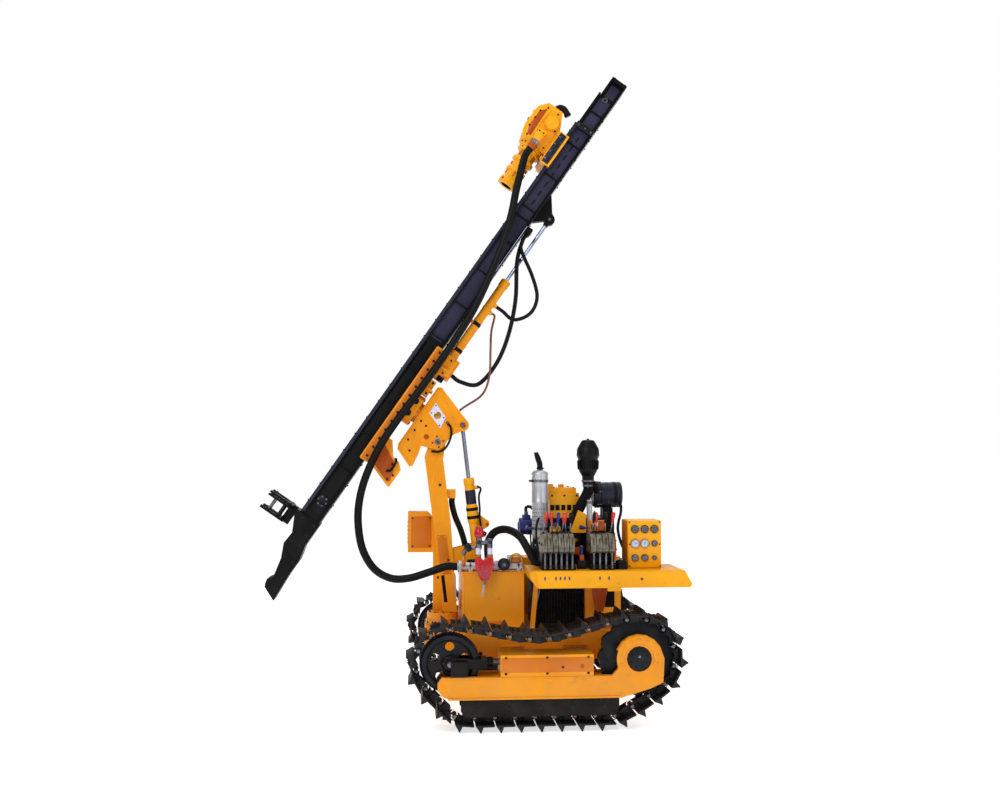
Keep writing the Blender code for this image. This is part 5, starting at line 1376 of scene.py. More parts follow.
def air_line():
    """The red valve with its knob and drain, its fittings, and clamps on the silver pipe."""
    x, face, z = -0.125, 0.478, 1.11
    body = [
        (x - 0.072, 1.19), (x - 0.072, 1.118), (x - 0.058, 1.075), (x - 0.035, 1.024), (x - 0.028, 1.02),
        (x + 0.02, 1.02),
        (x + 0.028, 1.026), (x + 0.052, 1.075), (x + 0.065, 1.118), (x + 0.065, 1.19), (x + 0.022, 1.19),
        (x + 0.004, 1.168),
        (x - 0.004, 1.168), (x - 0.022, 1.19),
    ]
    kit = Kit().use(RED).flat(body, (0, face, 0), 0.09, 0.012)
    kit.rod((x, 0.3913, z), (x, face, z), 0.022, 24)
    kit.rod((x - 0.004, face + 0.04, 1.11), (x - 0.004, face + 0.056, 1.11), 0.034, 32, 0.004)
    for a, b in around(4, 0.024, 0.5):
        kit.use(WORN).bolt((x - 0.004 + a, face + 0.056, 1.11 + b), LEFT, 0.005)
    fittings = (
        # x, low, high, radius, look
        (x + 0.042, 1.188, 1.212, 0.026, BRASS),
        (x - 0.047, 1.188, 1.212, 0.026, BRASS),
        (x + 0.042, 1.212, 1.262, 0.019, WHITE),
        (x - 0.047, 1.212, 1.262, 0.019, WHITE),
        (x + 0.036, 1.262, 1.345, 0.023, WORN),
        (x - 0.047, 1.262, 1.33, 0.021, WORN),
    )
    for a, low, high, radius, look in fittings:
        kit.use(look).rod((a, face, low), (a, face, high), radius, 6 if look is BRASS else 28, 0.002)
    kit.use(WORN).rod((x + 0.036, face, 1.3), (x - 0.047, face, 1.3), 0.017, 20)
    kit.use(NAVY_BLACK).rod(
        (x + 0.036, face + 0.018, 1.305), (x + 0.036, face + 0.034, 1.305), 0.016, 20, 0.002,
    )
    kit.use(NAVY_BLACK).rod(
        (x - 0.047, face + 0.018, 1.305), (x - 0.047, face + 0.034, 1.305), 0.014, 20, 0.002,
    )
    kit.use(RED).turned(
        ((0.0, 0.09), (0.02, 0.088), (0.028, 0.08), (0.03, 0.066), (0.036, 0.05), (0.04, 0.03),
         (0.038, 0.014), (0.026, 0.004), (0.0, 0.0)),
        (x + 0.035, face, 1.337), UP, 32,
    )
    kit.use(WORN).rod((x - 0.006, face, 1.02), (x - 0.006, face, 0.985), 0.012, 6)
    kit.use(PALE_AND_HIGHLIGHT).rod((x - 0.004, face, 0.99), (x + 0.008, face, 0.895), 0.0075, 16, 0.001)
    kit.use(WORN).tube(
        [
            (x + 0.07, face, 1.265), (x + 0.105, face, 1.262), (x + 0.135, face - 0.02, 1.25),
            (x + 0.15, 0.43, 1.215),
        ],
        0.017, 16,
    )
    kit.use(DARK_STEEL).rod(
        (x + 0.098, face + 0.002, 1.245), (x + 0.132, face - 0.014, 1.285), 0.026, 24, 0.003,
    )
    kit.use(BRASS).rod((x + 0.15, 0.42, 1.15), (x + 0.15, 0.42, 1.222), 0.014, 20, 0.002)
    # Darker orange fitting: painted shade.
    kit.use(SHADE_ORANGE).rod((x + 0.15, 0.392, 1.13), (x + 0.15, 0.44, 1.16), 0.018, 20, 0.002)
    kit.done("air_valve_body", "chassis", "red_paint", ("air_valve",))
    kit = Kit().use(NAVY_BLACK).turned(
        ((0.03, 0.0), (0.042, 0.002), (0.047, 0.008), (0.047, 0.036), (0.044, 0.044), (0.036, 0.05),
         (0.03, 0.058), (0.0, 0.06)),
        (-0.285, 0.3913, 1.13), LEFT, 40,
    )
    for u, v in around(20, 0.0465):
        a, c = -0.285 + u, 1.13 + v
        kit.use(NAVY_BLACK).rod((a, 0.404, c), (a, 0.426, c), 0.0035, 8)
    kit.use(NAVY_BLACK).rod((-0.285, 0.3913, 1.13), (-0.285, 0.4, 1.13), 0.04, 28)
    kit.use(WORN).bolt((-0.285, 0.451, 1.13), LEFT, 0.01)
    kit.done("regulator_cap", "chassis", "black_paint", ("air_regulator",))
    kit = Kit()
    for a in (-0.4, -0.205, -0.03):
        kit.use(WORN).ring((a, 0.36, z), AHEAD, 0.0325, 0.0035, 36, 8)
        kit.screw((a, 0.392, z + 0.012), LEFT, 0.007)
    for u, v in around(6, 0.04):
        a = Vector((0.0625, 0.36 + u, z + v))
        kit.screw(a, AHEAD, 0.0055)
    kit.use(WHITE).rod((-0.246, 0.36, z), (-0.16, 0.36, z), 0.0345, 36, 0.003)
    kit.use(BRASS).tube(
        [
            (-0.33, 0.378, 1.138), (-0.345, 0.384, 1.185), (-0.385, 0.39, 1.205), (-0.42, 0.395, 1.18),
            (-0.43, 0.392, 1.14),
        ],
        0.01, 12,
    )
    # Darker orange box: painted shade.
    kit.use(SHADE_ORANGE).box((-0.42, 0.345, 1.14), (-0.345, 0.38, 1.18), 0.006)
    kit.use(WHITE).box((-0.345, 0.35, 1.142), (-0.312, 0.382, 1.196), 0.005)
    kit.done("air_pipe_clamps", "chassis", "silver_paint")


gauge_panel()
for bank in BANKS:
    valve_bank(*bank[:4])
deck_trim()
cooler()
tank_trim()
fuel_trim()
air_line()


# Engine, exhaust, pre-cleaner, duct and air filter
MUFFLER = (-0.593, 0.16)
CLEANER = (-0.981, 0.15)


def muffler():
    """The silencer's shell with rolled seams and bands, and the curved tip cut at a slant."""
    x, y = MUFFLER
    kit = Kit().use(SILVER).turned(
        ((0.0, 1.8475), (0.034, 1.846), (0.044, 1.842), (0.06, 1.829), (0.064, 1.822), (0.0665, 1.816),
         (0.0665, 1.81),
         (0.064, 1.804), (0.064, 1.6), (0.0655, 1.597), (0.0655, 1.585), (0.064, 1.582), (0.064, 1.338),
         (0.0665, 1.334),
         (0.0665, 1.326), (0.064, 1.32), (0.046, 1.303), (0.036, 1.3), (0.0262, 1.298), (0.0262, 1.2403),
         (0.0, 1.2403)),
        (x, y, 0), UP, 64,
    )
    kit.bead((x, y + 0.0645, 1.81), (x, y + 0.0645, 1.33), 0.0022)
    for z in (1.385, 1.76):
        kit.use(WORN).band(0.0645, 0.0672, 0.011, 0.01, (x, y, z), UP, 48)
        kit.use(WORN).box((x + 0.06, y - 0.01, z - 0.009), (x + 0.088, y + 0.01, z + 0.009), 0.002)
        kit.use(DARK_STEEL).rod((x + 0.076, y - 0.018, z), (x + 0.076, y + 0.02, z), 0.005, 10)
    for step in range(22):
        for row in range(5):
            turn = math.tau * (step + 0.5 * (row % 2)) / 22
            out = Vector((math.cos(turn), math.sin(turn), 0))
            hole = Vector((x, y, 1.42 + 0.03 * row))
            kit.use(DARK_STEEL).rod(hole + out * 0.063, hole + out * 0.0648, 0.0042, 10)
    kit.use(SILVER).turned(
        ((0.03, 1.246), (0.04, 1.246), (0.042, 1.25), (0.042, 1.258), (0.03, 1.26)), (x, y, 0), UP, 32,
    )
    kit.done("muffler_shell", "chassis", "silver_paint", ("muffler",), 30)
    path = [
        (x, y, 1.8475), (x, y, 1.88), (-0.5895, y, 1.905), (-0.58, y, 1.93), (-0.572, y, 1.955),
        (-0.56, y, 1.985),
    ]
    kit = Kit().use(BLACK).tube(
        path, 0.0225, 24, 0.012, True, lambda t: 1.0 - 0.28 * max(0.0, t - 0.7) / 0.3,
    )
    kit.turned(((0.023, 0.0), (0.0265, 0.003), (0.0265, 0.013), (0.023, 0.016)), (x, y, 1.852), UP, 32)
    kit.use(DARK_STEEL).rod((x - 0.03, y - 0.012, 1.86), (x - 0.03, y + 0.012, 1.86), 0.004, 10)
    end = Vector(path[-1])
    kit.use(DARK_STEEL).rod(end - Vector((-0.001, 0, 0.002)), end + Vector((0.0006, 0, 0.0014)), 0.0135, 24)
    kit.done("exhaust_tip_pipe", "chassis", "black_paint", ("exhaust_tip",))
    kit = Kit().use(DARK_STEEL)
    for z in (1.11, 1.23):
        kit.box((-0.664, 0.098, z - 0.008), (-0.516, 0.244, z + 0.008), 0.003)
        for a in (-0.652, -0.528):
            for b in (0.11, 0.232):
                kit.use(WORN).bolt((a, b, z + 0.008), UP, 0.007)
        kit.use(DARK_STEEL)
    for step in range(3):
        kit.tube(
            [
                (-0.7 - 0.075 * step, 0.098, 1.33), (-0.7 - 0.075 * step, 0.145, 1.325),
                (-0.668, 0.17, 1.262), (-0.655, 0.17, 1.19),
            ],
            0.021, 14,
        )
    kit.done("manifold_runners", "chassis", "track_steel")


def pre_cleaner():
    """The bowl with its louvred skirt, clamp and neck."""
    x, y = CLEANER
    kit = Kit().use(PLASTIC).turned(
        ((0.0, 2.0855), (0.03, 2.086), (0.044, 2.083), (0.056, 2.07), (0.08, 2.027), (0.0855, 2.016),
         (0.0905, 1.968),
         (0.09, 1.96), (0.082, 1.938), (0.0785, 1.932), (0.0755, 1.88), (0.0725, 1.842), (0.069, 1.832),
         (0.052, 1.802),
         (0.0475, 1.796), (0.0465, 1.74), (0.0, 1.74)),
        (x, y, 0), UP, 56,
    )
    for a, b in around(26, 1.0):
        out = Vector((a, b, 0))
        base = Vector((x, y, 0))
        kit.plate(
            [(0.0745, 1.846), (0.0845, 1.856), (0.0875, 1.915), (0.08, 1.928)], base, out, UP, 0.0035, 0.001
        )
        kit.rod(
            base + out * 0.0868 + Vector((0, 0, 1.972)), base + out * 0.0848 + Vector((0, 0, 2.012)),
            0.0028, 6,
        )
    kit.use(WORN).turned(
        ((0.0478, 1.752), (0.0498, 1.753), (0.0498, 1.765), (0.0478, 1.766)), (x, y, 0), UP, 40,
    )
    kit.rod((x + 0.052, y - 0.012, 1.759), (x + 0.052, y + 0.016, 1.759), 0.0045, 10)
    kit.use(PLASTIC).turned(
        ((0.0, 2.097), (0.008, 2.096), (0.011, 2.09), (0.011, 2.084)), (x, y, 0), UP, 20,
    )
    kit.done("pre_cleaner_bowl", "chassis", "black_paint", ("pre_cleaner",), 30)


def duct():
    """The ribbed rubber duct down to the manifold, with band clamps at both ends."""
    path = [
        (-0.981, 0.15, 1.7397), (-0.981, 0.15, 1.68), (-0.936, 0.15, 1.59), (-0.89, 0.15, 1.5),
        (-0.858, 0.15, 1.43), (-0.85, 0.15, 1.3703),
    ]
    kit = Kit().use(RUBBER).tube(
        path, 0.0415, 28, 0.004, True, lambda t: 1.0 + (
            0.032 * math.cos(t * 150.0) if 0.12 < t < 0.86 else 0.012
        )
    )
    for end, way in (((-0.981, 0.15, 1.722), UP), ((-0.8505, 0.15, 1.392), UP)):
        kit.use(WORN).band(0.042, 0.0448, 0.008, 0.007, end, way, 40)
        kit.rod(
            Vector(end) + Vector((0.01, 0.048, -0.014)), Vector(end) + Vector((0.01, 0.048, 0.016)), 0.0045,
            10,
        )
    kit.done("air_duct_ribs", "chassis", "rubber", ("air_duct",), 40)


def air_filter():
    """The filter's can with rolled ends, ribs, clips and the pipe that leaves it."""
    x0, y, z = -1.15, 0.03, 1.645
    kit = Kit().use(NAVY_BLACK).turned(
        ((0.0, 0.1165), (0.04, 0.1165), (0.046, 0.11), (0.082, 0.11), (0.09, 0.1165), (0.098, 0.113),
         (0.1035, 0.104),
         (0.1035, 0.086), (0.101, 0.082), (0.101, 0.05), (0.103, 0.047), (0.103, 0.04), (0.101, 0.037),
         (0.101, 0.004),
         (0.103, 0.001), (0.103, -0.006), (0.101, -0.009), (0.101, -0.062), (0.106, -0.064),
         (0.106, -0.078),
         (0.101, -0.082), (0.098, -0.108), (0.088, -0.1165), (0.0, -0.1165)),
        (x0, y, z), BEHIND, 64,
    )
    for a, b in around(6, 1.0, 0.25):
        out = Vector((0, a, b))
        place = Vector((x0 + 0.071, y, z)) + out * 0.1065
        kit.use(WORN).rod(place - Vector((0.02, 0, 0)), place + Vector((0.018, 0, 0)), 0.0045, 10)
        kit.use(WORN).rod(
            place + Vector((0.018, 0, 0)), place + Vector((0.018, 0, 0)) + out * 0.007, 0.005, 10,
        )
    kit.use(BLACK).box((x0 - 0.03, -0.03, 1.542), (x0 + 0.03, 0.08, 1.552), 0.003)
    for a in (-0.06, 0.066):
        kit.use(BLACK).band(0.1012, 0.104, 0.012, 0.01, (x0 + a, y, z), BEHIND, 48)
    kit.use(RUBBER).tube(
        [(-1.055, 0.12, 1.68), (-1.04, 0.145, 1.7), (-1.02, 0.152, 1.735), (-0.992, 0.152, 1.77)], 0.026, 18
    )
    kit.use(HOSE).tube(
        [(-1.238, 0.108, 1.585), (-1.25, 0.125, 1.56), (-1.245, 0.14, 1.5), (-1.222, 0.165, 1.43),
         (-1.212, 0.2, 1.36),
         (-1.235, 0.25, 1.25), (-1.29, 0.3, 1.16), (-1.33, 0.34, 1.125)], 0.0115, 12
    )
    kit.done("air_filter_can", "chassis", "black_paint", ("air_filter",), 30)


def pump():
    """The blue hydraulic pump with its flange, ribs, ports and fittings."""
    x, y, z = -0.6197, -0.02, 1.39
    kit = Kit().use(NAVY).turned(
        ((0.0, 0.0), (0.046, 0.0), (0.05, 0.004), (0.05, 0.044), (0.07, 0.048), (0.078, 0.052),
         (0.078, 0.066), (0.07, 0.07),
         (0.066, 0.074), (0.066, 0.096), (0.07, 0.099), (0.07, 0.112), (0.066, 0.115), (0.066, 0.138),
         (0.07, 0.142),
         (0.07, 0.168), (0.064, 0.176), (0.036, 0.18), (0.032, 0.186), (0.0, 0.186)),
        (x, y, z), AHEAD, 48,
    )
    for a, b in around(6, 0.066):
        place = Vector((x + 0.066, y + a, z + b))
        kit.use(WORN).bolt(place, AHEAD, 0.006)
    kit.use(NAVY).box((x + 0.085, y - 0.034, z + 0.055), (x + 0.15, y + 0.034, z + 0.094), 0.006)
    kit.box((x + 0.088, y + 0.05, z - 0.03), (x + 0.148, y + 0.088, z + 0.03), 0.006)
    kit.use(WORN).rod((x + 0.118, y, z + 0.094), (x + 0.118, y, z + 0.118), 0.018, 6, 0.002)
    kit.use(HOSE).tube(
        [
            (x + 0.118, y, z + 0.112), (x + 0.12, y + 0.006, z + 0.15), (x + 0.085, y + 0.03, z + 0.158),
            (x + 0.055, y + 0.06, z + 0.11), (x + 0.05, y + 0.11, z + 0.02), (x + 0.06, y + 0.13, z - 0.1),
            (x + 0.08, y + 0.12, z - 0.29),
        ],
        0.013, 14,
    )
    kit.use(WORN).rod((x + 0.118, y + 0.086, z), (x + 0.118, y + 0.104, z), 0.017, 6, 0.002)
    kit.done("hydraulic_pump_body", "chassis", "blue_paint", ("hydraulic_pump",), 30)


def engine_trim():
    """Cover bolts, cooling fins, injector lines, pulleys with a belt, starter, dynamo and the oil filter."""
    kit = Kit()
    for x in (-0.9, -0.8, -0.7):
        kit.screw((x, 0.0805, 1.64), LEFT, 0.007)
    for x in (-0.885, -0.838, -0.791, -0.744, -0.703):
        kit.use(BLACK).box((x - 0.017, 0.079, 1.522), (x + 0.017, 0.0825, 1.566), 0.003)
    for x in (-0.88, -0.72):
        for y in (-0.28, 0.03):
            kit.use(WORN).bolt((x, y, 1.7005), UP, 0.008)
    kit.use(YELLOW).turned(
        ((0.0, 0.026), (0.018, 0.026), (0.024, 0.02), (0.024, 0.0)), (-0.8, -0.12, 1.7), UP, 28,
    )
    kit.use(YELLOW).bead((-0.918, 0.0805, 1.468), (-0.682, 0.0805, 1.468), 0.004)
    for step in range(15):
        z = 1.035 + 0.0275 * step
        for edge, low, high in ((1, -1.195, -0.925), (-1, -1.195, -0.625)):
            y = 0.1 if edge == 1 else -0.36
            kit.use(BLACK).box(
                (low, min(y, y + edge * 0.01), z), (high, max(y, y + edge * 0.01), z + 0.01), 0.002,
            )
    for x in (-1.13, -0.99, -0.85, -0.7):
        kit.use(DARK_STEEL).rod((x, -0.372, 1.3), (x, -0.395, 1.34), 0.014, 16, 0.002)
        kit.use(WORN).tube(
            [(x, -0.392, 1.335), (x + 0.012, -0.41, 1.4), (x + 0.015, -0.4, 1.47), (x + 0.01, -0.35, 1.49)],
            0.0055, 10,
        )
    kit.use(ORANGE).turned(
        ((0.0, 0.13), (0.034, 0.13), (0.046, 0.12), (0.05, 0.105), (0.05, 0.02), (0.044, 0.01),
         (0.044, 0.0)),
        (-1.06, -0.425, 1.06), UP, 32,
    )
    kit.use(DARK_STEEL).box((-1.11, -0.47, 1.18), (-1.01, -0.368, 1.215), 0.006)
    kit.use(DARK_STEEL).turned(
        ((0.0, 0.0), (0.044, 0.0), (0.05, 0.006), (0.05, 0.15), (0.036, 0.158), (0.036, 0.19),
         (0.0, 0.192)), (-0.94, -0.415, 1.08), AHEAD, 32
    )
    kit.use(WORN).turned(
        ((0.0, 0.0), (0.02, 0.0), (0.022, 0.004), (0.022, 0.12), (0.0, 0.122)), (-0.93, -0.4, 1.15), AHEAD,
        24,
    )
    wheels = (
        # centre y, z, radius
        (-0.13, 1.15, 0.112),
        (-0.27, 1.345, 0.052),
        (0.01, 1.3, 0.06),
    )
    for y, z, radius in wheels:
        kit.use(DARK_STEEL).turned(
            ((0.0, 0.03), (0.02, 0.03), (0.024, 0.012), (radius - 0.02, 0.01), (radius - 0.008, 0.022),
             (radius, 0.022), (radius - 0.012, 0.012),
             (radius, 0.002), (radius - 0.01, 0.0), (0.0, 0.0)),
            (-0.58, y, z), AHEAD, 48,
        )
        for a, b in around(5, 0.013):
            kit.use(WORN).bolt((-0.555, y + a, z + b), AHEAD, 0.0042)
    belt_line = []
    for one, two in zip(wheels, wheels[1:] + wheels[:1]):
        way = Vector((two[0] - one[0], two[1] - one[1]))
        out = Vector((way.y, -way.x)).normalized()
        middle = Vector((sum(w[0] for w in wheels) / 3, sum(w[1] for w in wheels) / 3))
        if out.dot(Vector((one[0], one[1])) - middle) < 0:
            out = -out
        belt_line.append(
            Vector((-0.568, one[0] + out.x * (one[2] - 0.005), one[1] + out.y * (one[2] - 0.005)))
        )
        belt_line.append(
            Vector((-0.568, two[0] + out.x * (two[2] - 0.005), two[1] + out.y * (two[2] - 0.005)))
        )
    for one, two in zip(belt_line[0::2], belt_line[1::2]):
        kit.use(RUBBER).bead(one, two, 0.0065)
    kit.use(DARK_STEEL).box((-0.67, -0.33, 1.3), (-0.585, -0.215, 1.4), 0.012)
    # Darker orange housing: painted shade.
    kit.use(SHADE_ORANGE).rod((-1.205, -0.13, 1.2), (-1.232, -0.13, 1.2), 0.155, 40, 0.004)
    for a, b in around(12, 0.138):
        kit.screw((-1.232, -0.13 + a, 1.2 + b), BEHIND, 0.008)
    for a, b in around(4, 0.075, 0.5):
        kit.use(WORN).rod((-1.232, -0.13 + a, 1.2 + b), (-1.234, -0.13 + a, 1.2 + b), 0.022, 24)
    kit.use(YELLOW).flat(
        [(-0.89, 1.53), (-0.953, 1.5), (-0.953, 1.352), (-0.822, 1.352)], (0, 0.215, 0), 0.008, 0.003,
    )
    kit.use(YELLOW).box((-0.952, 0.1, 1.352), (-0.94, 0.217, 1.5), 0.003)
    kit.use(SILVER).tube(
        [
            (-0.985, 0.18, 1.61), (-0.985, 0.18, 1.56), (-0.988, 0.182, 1.42), (-0.99, 0.17, 1.355),
            (-0.99, 0.1, 1.32),
        ],
        0.0225, 20,
    )
    kit.use(WORN).band(0.0228, 0.027, 0.01, 0.008, (-0.985, 0.18, 1.59), UP, 28)
    kit.use(NAVY).rod((-0.96, 0.2, 1.385), (-0.9, 0.222, 1.398), 0.016, 20, 0.002)
    kit.use(BRASS).rod((-0.87, 0.13, 1.29), (-0.87, 0.215, 1.29), 0.018, 20, 0.002)
    # Darker orange box: painted shade.
    kit.use(DARKER_SHADE_ORANGE).box((-0.905, 0.15, 1.18), (-0.85, 0.205, 1.24), 0.006)
    kit.use(HOSE).tube(
        [
            (-0.64, 0.12, 1.42), (-0.66, 0.19, 1.41), (-0.7, 0.235, 1.33), (-0.7, 0.26, 1.22),
            (-0.69, 0.3, 1.13),
        ],
        0.01, 12,
    )
    kit.use(HOSE).tube(
        [
            (-0.65, 0.1, 1.48), (-0.62, 0.13, 1.5), (-0.56, 0.26, 1.44), (-0.545, 0.33, 1.32),
            (-0.56, 0.4, 1.18), (-0.57, 0.44, 1.125),
        ],
        0.009, 12,
    )
    kit.done("engine_fittings", "chassis", "black_paint")


muffler()
pre_cleaner()
duct()
air_filter()
pump()
engine_trim()


# Post, tilt cylinder, boom head and mast carrier
def post_trim():
    """The post's plates, some in a darker orange of painted shade, a dark strip and a pale strip of painted
    highlight on each side, bolts, grease points and pin.
    """
    kit = Kit()
    for side in (-1, 1):
        face = side * 0.0705
        way = Vector((0, side, 0))
        # On each side a black strip and a pale strip; the pale one is painted highlight.
        kit.use(BLACK).flat(
            [(0.12, 0.8), (0.146, 0.8), (0.172, 1.01), (0.146, 1.014)], (0.015, face, 0), 0.003, 0.001,
        )
        kit.use(PALE_AND_HIGHLIGHT).flat(
            [(0.046, 0.816), (0.058, 0.816), (0.064, 1.013), (0.052, 1.013)], (0.016, face, 0), 0.003,
            0.001,
        )
        kit.screw((0.197, face, 1.727), way, 0.009)
        kit.screw((0.13, face, 1.132), way, 0.009)
        # Darker orange plates: painted shade.
        kit.use(SHADE_ORANGE).flat(
            [(0.104, 1.02), (0.186, 1.02), (0.222, 1.33), (0.146, 1.33)], (0, face, 0), 0.004, 0.0015,
        )
        for a, b in ((0.116, 1.034), (0.176, 1.034), (0.156, 1.316), (0.208, 1.316)):
            kit.use(ORANGE).bolt((a, face + side * 0.002, b), way, 0.0065)
        kit.use(YELLOW).flat(
            [(0.236, 1.9), (0.242, 1.9), (0.262, 1.74), (0.256, 1.7)], (0, face, 0), 0.004, 0.001,
        )
    kit.use(ORANGE).bead((0.06, 0.069, 0.728), (0.166, 0.069, 0.728), 0.006)
    kit.use(ORANGE).bead((0.06, -0.069, 0.728), (0.166, -0.069, 0.728), 0.006)
    for a, b in around(10, 0.108, 0.5):
        kit.screw((0.17 + a, b, 0.7195), UP, 0.008)
    for z in (0.98, 1.12, 1.26, 1.4):
        kit.screw((0.206, -0.07, z), LEFT, 0.008)
    # Darker orange box: painted shade.
    kit.use(SHADE_ORANGE).box((0.262, -0.0905, 1.215), (0.425, -0.0875, 1.47), 0.001)
    for x in (0.275, 0.412):
        for z in (1.23, 1.455):
            kit.screw((x, -0.0875, z), LEFT, 0.006)
    kit.use(BLACK).box((0.448, -0.25, 1.23), (0.4515, -0.13, 1.45), 0.001)
    for step in range(6):
        kit.use(DARK_STEEL).box(
            (0.4505, -0.24, 1.25 + 0.032 * step), (0.4535, -0.14, 1.262 + 0.032 * step), 0.001,
        )
    kit.done("post_trim", "swing_post", "orange_paint")


def tilt_barrel():
    """The tilt cylinder's barrel with its welded eye, ports, bands, pipe, bracket and gland."""
    foot = Vector((-0.1, 0.0, 1.228))
    ear = MAST @ Vector((-0.087, 0.0, 0.222))
    way = (ear - foot).normalized()
    side = Vector(LEFT)
    out = way.cross(side).normalized()
    if out.x > 0:
        out = -out
    kit = Kit().use(YELLOW).turned(
        ((0.0, 0.02), (0.03, 0.024), (0.0375, 0.034), (0.04, 0.048), (0.04, 0.19), (0.044, 0.194),
         (0.047, 0.2),
         (0.047, 0.33), (0.044, 0.336), (0.0405, 0.34), (0.0405, 0.5), (0.044, 0.506), (0.044, 0.54),
         (0.042, 0.546),
         (0.04, 0.556), (0.0195, 0.5565), (0.0195, 0.546)),
        foot, way, 40,
    )
    # Darker orange eye: painted shade.
    kit.use(SHADE_ORANGE).rod(foot - side * 0.0417, foot + side * 0.0417, 0.034, 36, 0.004)
    kit.use(WORN).rod(foot - side * 0.064, foot + side * 0.064, 0.0175, 24, 0.002)
    kit.use(BLACK).band(0.0475, 0.0495, 0.013, 0.011, foot + way * 0.24, way, 40)
    kit.use(BLACK).band(0.0475, 0.0495, 0.013, 0.011, foot + way * 0.305, way, 40)
    for along, size in ((0.085, 0.014), (0.475, 0.014)):
        spot = foot + way * along
        kit.use(YELLOW).rod(spot + out * 0.034, spot + out * 0.058, 0.015, 20, 0.002)
        kit.use(WORN).rod(spot + out * 0.056, spot + out * 0.07, size, 6, 0.001)
        kit.use(HOSE).rod(spot + out * 0.068, spot + out * 0.08 - way * 0.004, 0.009, 14)
    pipe = [
        foot + way * 0.475 + out * 0.078,
        foot + way * 0.455 + out * 0.088,
        foot + way * 0.4 + out * 0.066,
        foot + way * 0.3 + out * 0.06 + side * 0.02,
        foot + way * 0.25 + out * 0.052 + side * 0.04,
        foot + way * 0.14 + out * 0.052 + side * 0.04,
        foot + way * 0.1 + out * 0.086 + side * 0.01,
        foot + way * 0.085 + out * 0.078,
    ]
    kit.use(HOSE).tube(pipe, 0.0085, 12)
    kit.use(NAVY_BLACK).turned(
        ((0.04, 0.345), (0.0425, 0.35), (0.0425, 0.455), (0.04, 0.46)), foot, way, 40,
    )
    back = [(0.12, 0.03), (0.15, 0.112), (0.172, 0.124), (0.196, 0.12), (0.262, 0.044)]
    for edge in (-1, 1):
        kit.use(YELLOW).plate(back, foot + side * (0.018 * edge), way, out, 0.008, 0.002)
    kit.use(SCARLET).rod(
        foot + way * 0.172 + out * 0.104 - side * 0.03, foot + way * 0.172 + out * 0.104 + side * 0.03,
        0.013, 24, 0.002,
    )
    kit.done("tilt_barrel_tube", "tilt_cylinder_barrel", "yellow_paint", ("tilt_barrel",))


def head_trim():
    """The head's blank plate with an oval, the reinforcing rims, pins with keepers, and bearing bolts."""
    kit = Kit(MAST)
    for side in (-1, 1):
        face = side * 0.0957
        way = Vector((0, side, 0))
        kit.use(ORANGE).turned(
            ((0.0, 0.004), (0.052, 0.004), (0.058, 0.0), (0.058, -0.008), (0.0, -0.008)), (0, face, 0), way,
            40,
        )
        kit.use(WORN).turned(
            ((0.0, 0.0145), (0.026, 0.0145), (0.031, 0.01), (0.031, 0.0), (0.0, 0.0)),
            (0, face + side * 0.002, 0), way, 32,
        )
        kit.screw((0.0, side * 0.1095, 0.0), way, 0.009)
        for turn in range(4):
            a = math.tau * (turn + 0.5) / 4
            kit.screw((0.044 * math.cos(a), face + side * 0.004, 0.044 * math.sin(a)), way, 0.0055)
        plate = [(0.19, 0.245), (0.186, 0.147), (0.046, 0.098), (0.06, 0.195)]
        kit.use(WHITE).flat(plate, (0, face + side * 0.001, 0), 0.004, 0.001)
        oval = [
            (0.122 + 0.036 * math.cos(t) * 0.8, 0.17 + 0.03 * math.sin(t))
            for t in [math.tau * s / 28 for s in range(28)]
        ]
        kit.use(BRASS).flat(oval, (0, face + side * 0.0035, 0), 0.002, 0.0005)
        for a, b in ((0.178, 0.228), (0.172, 0.158), (0.064, 0.114), (0.072, 0.184)):
            kit.screw((a, face + side * 0.003, b), way, 0.0045)
        rim = [(0.216, 0.356), (0.236, 0.344), (0.236, -0.184), (0.222, -0.212), (0.082, -0.268)]
        kit.use(ORANGE).tube([(a, face, b) for a, b in rim], 0.0055, 8, 1.0, False)
        rim = [(0.202, 0.35), (-0.08, 0.164)]
        kit.use(ORANGE).tube([(a, face, b) for a, b in rim], 0.0055, 8, 1.0, False)
        # A thin pale strip along the rim: painted highlight.
        kit.use(PALE_AND_HIGHLIGHT).flat(
            rectangle(0.232, 0.3, 0.238, -0.06), (0, face + side * 0.001, 0), 0.003, 0.001,
        )
        for a, b in ((0.205, 0.06), (0.205, -0.03), (0.205, -0.12), (0.145, -0.185), (0.15, 0.05)):
            kit.screw((a, face, b), way, 0.0075)
        kit.use(WORN).turned(
            ((0.0, 0.016), (0.018, 0.016), (0.022, 0.012), (0.022, 0.0), (0.0, 0.0)),
            (-0.087, side * 0.0965, 0.222), way, 28,
        )
        kit.use(DARK_STEEL).box(
            (-0.11, side * 0.104 - 0.003, 0.216), (-0.064, side * 0.104 + 0.003, 0.228), 0.001,
        )
        # A darker orange boss: painted shade.
        kit.use(DARKER_SHADE_ORANGE).rod((0.098, face, -0.02), (0.098, face + side * 0.004, -0.02), 0.02, 28, 0.001)
    for a, b in around(12, 0.072):
        kit.screw((0.2735, a, 0.1 + b), AHEAD, 0.006)
    kit.use(BLACK).box((-0.02, -0.07, 0.255), (0.15, 0.07, 0.275), 0.004)
    kit.use(HOSE).tube(
        [
            (0.02, 0.1, 0.165), (-0.02, 0.112, 0.15), (-0.062, 0.11, 0.09), (-0.078, 0.105, 0.0),
            (-0.052, 0.1, -0.06), (0.0, 0.098, -0.092),
        ],
        0.009, 12,
    )
    kit.use(WORN).rod((0.03, 0.096, 0.17), (0.012, 0.104, 0.16), 0.012, 12, 0.001)
    kit.done("boom_head_trim", "boom_head", "orange_paint")


